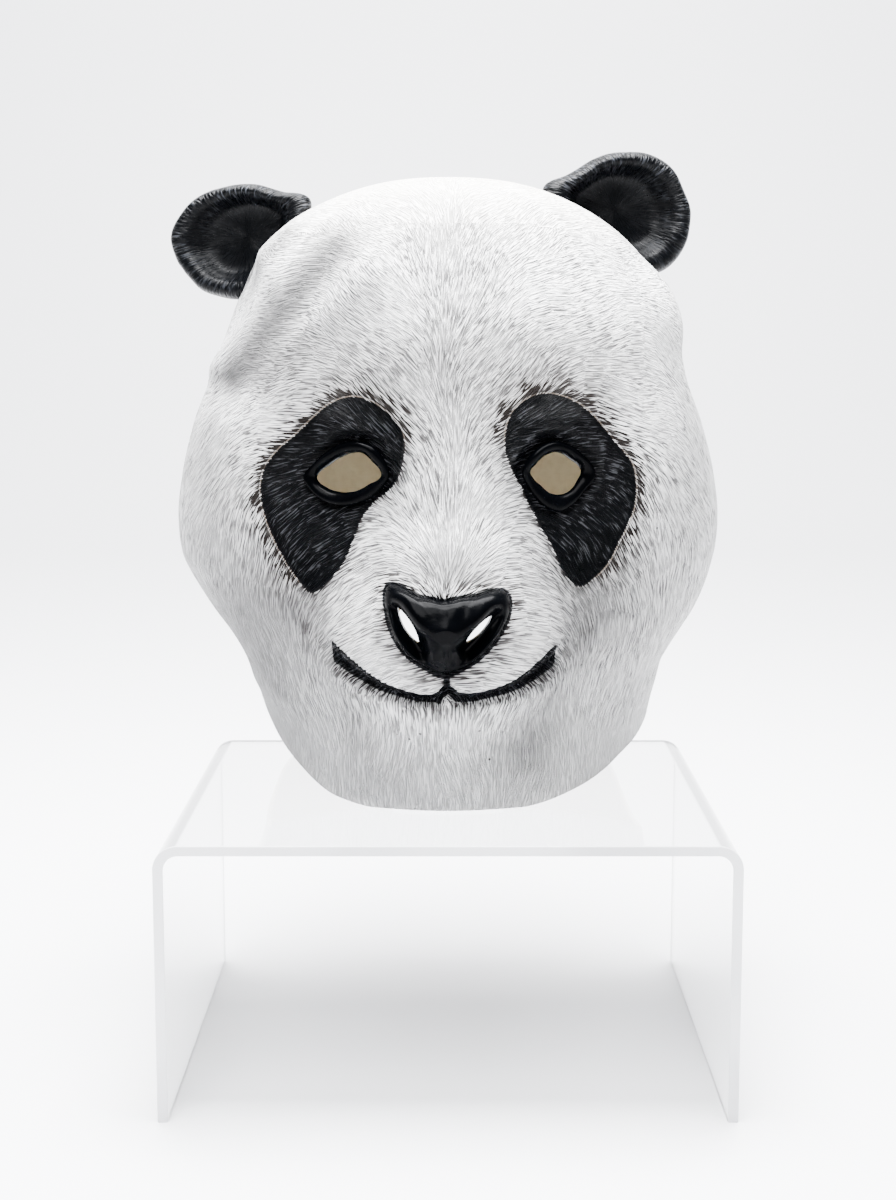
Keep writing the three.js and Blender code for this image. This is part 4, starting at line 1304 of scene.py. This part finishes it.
def riser_piece(clear, edge):
    """The bent sheet, with smooth bends and faintly eased edges."""
    width, depth, height = (np.array(riser_high) - np.array(riser_low)) / MM
    half, corner = width / 2, width / 2 - RISER_BEND

    def side(radius, inset):
        bend = np.linspace(np.pi, 0, RISER_BEND_POINTS)
        x = np.where(bend > np.pi / 2, -corner, corner) + radius * np.cos(bend)
        z = height - RISER_BEND + radius * np.sin(bend)
        return np.concatenate([[(inset - half, 0)], np.stack([x, z], 1), [(half - inset, 0)]])

    outer, inner = side(RISER_BEND, 0), side(RISER_BEND - RISER_SHEET, RISER_SHEET)
    loop, centre = np.concatenate([outer, inner[::-1]]), (outer + inner) / 2
    centre = np.concatenate([centre, centre[::-1]])
    total, count = len(loop), len(outer)
    eased = 2 * RISER_EASING / RISER_SHEET
    stations = ((0, eased), (RISER_EASING, 0), (depth - RISER_EASING, 0), (depth, eased))
    rows = len(stations)
    points = np.empty((total, rows, 3))
    for row, (at, shrink) in enumerate(stations):
        points[:, row, 0::2] = centre + (loop - centre) * (1 - shrink)
        points[:, row, 1] = at
    places = points * MM + ((riser_low.x + riser_high.x) / 2, riser_low.y, riser_low.z)
    kinds = np.ones((total, rows - 1), np.int32)
    kinds[:, 1] = np.isin(np.arange(total), (count - 1, total - 1))
    at = np.arange(count - 1)
    cap = np.stack([at, at + 1, total - 2 - at, total - 1 - at], 1) * rows
    faces = [*grid_faces(total, rows), *cap, *(cap + rows - 1)]
    piece = new_object("riser_sheet", places.reshape(-1, 3).tolist(), faces, [clear, edge])
    kinds = np.concatenate([kinds.ravel(), np.ones(2 * len(cap), np.int32)])
    piece.data.polygons.foreach_set("material_index", kinds)
    fix_normals(piece)
    piece.data.shade_smooth()
    piece.data.set_sharp_from_angle(angle=math.radians(25))
    return piece


def studio():
    """Pale sweep, soft lights and an even world."""
    paint = Wiring("sweep_paint")
    tone = paint.noise(paint.position(), 1.5, detail=1.0)
    paint.set(Base_Color=paint.mix(tone, *SWEEP_COLOURS), Roughness=0.55)
    bend = np.linspace(0, math.pi / 2, 24)
    profile = [(-SWEEP_REACH, 0.0), *zip(SWEEP_WALL - SWEEP_BEND * (1 - np.sin(bend)),
                                         SWEEP_BEND * (1 - np.cos(bend))), (SWEEP_WALL, SWEEP_HEIGHT)]
    points = [(x, y, z) for x in (-SWEEP_REACH, SWEEP_REACH) for y, z in profile]
    count = len(profile)
    faces = [(at, at + 1, count + at + 1, count + at) for at in range(count - 1)]
    sweep = new_object("sweep", points, faces, [paint.material])
    sweep.data.shade_smooth()

    world = bpy.data.worlds.new("studio")
    world.use_nodes = True
    background = world.node_tree.nodes["Background"]
    background.inputs["Color"].default_value = WORLD_COLOUR
    background.inputs["Strength"].default_value = WORLD_STRENGTH
    bpy.context.scene.world = world
    for name, (place, target, size, power) in LAMPS.items():
        light = bpy.data.lights.new(name, "AREA")
        light.size, light.energy, light.color = size, power, LIGHT_TINT
        lamp = bpy.data.objects.new(name, light)
        lamp.location = place
        lamp.rotation_euler = (Vector(target) - Vector(place)).to_track_quat("-Z", "Y").to_euler()
        bpy.context.scene.collection.objects.link(lamp)


# Camera from the riser's corners in the photograph
CAMERA_BACK = 714.0
CAMERA_UP = 196.8
CAMERA_PITCH = 0.138
CAMERA_FOCAL_PIXELS = 1869.8
PHOTO_HEIGHT_PIXELS = 1200.0
SENSOR = 36.0


def camera():
    """The camera at the photograph's place and angle."""
    lens = bpy.data.cameras.new("camera")
    lens.sensor_fit = "AUTO"
    lens.sensor_width = SENSOR
    lens.lens = CAMERA_FOCAL_PIXELS / PHOTO_HEIGHT_PIXELS * SENSOR
    eye = bpy.data.objects.new("camera", lens)
    eye.location = (ORIGIN.x, riser_low.y - CAMERA_BACK * MM, riser_high.z + CAMERA_UP * MM)
    eye.rotation_euler = (math.pi / 2 - CAMERA_PITCH, 0, 0)
    bpy.context.scene.collection.objects.link(eye)
    bpy.context.scene.camera = eye


camera()
studio()
painted, bare, gloss = skin_material(), bare_material(), gloss_material()
ear_black = ear_material()
skin = mask_skin(painted, bare)
nose = nose_piece(gloss, bare)
for side in LIDS:
    lid = lid_piece(f"{side}_lids", side, gloss)
    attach(lid, "root")
    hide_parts("mask")
for side, ear in EARS.items():
    part = ear_piece(f"{side}_ear", ear, ear_black)
    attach(part, "root")
    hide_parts("mask")
for part in (skin, nose):
    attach(part, "root")
    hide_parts("mask")
sheet = riser_piece(acrylic_material(), sawn_edge_material())
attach(sheet, "root")
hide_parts("riser")
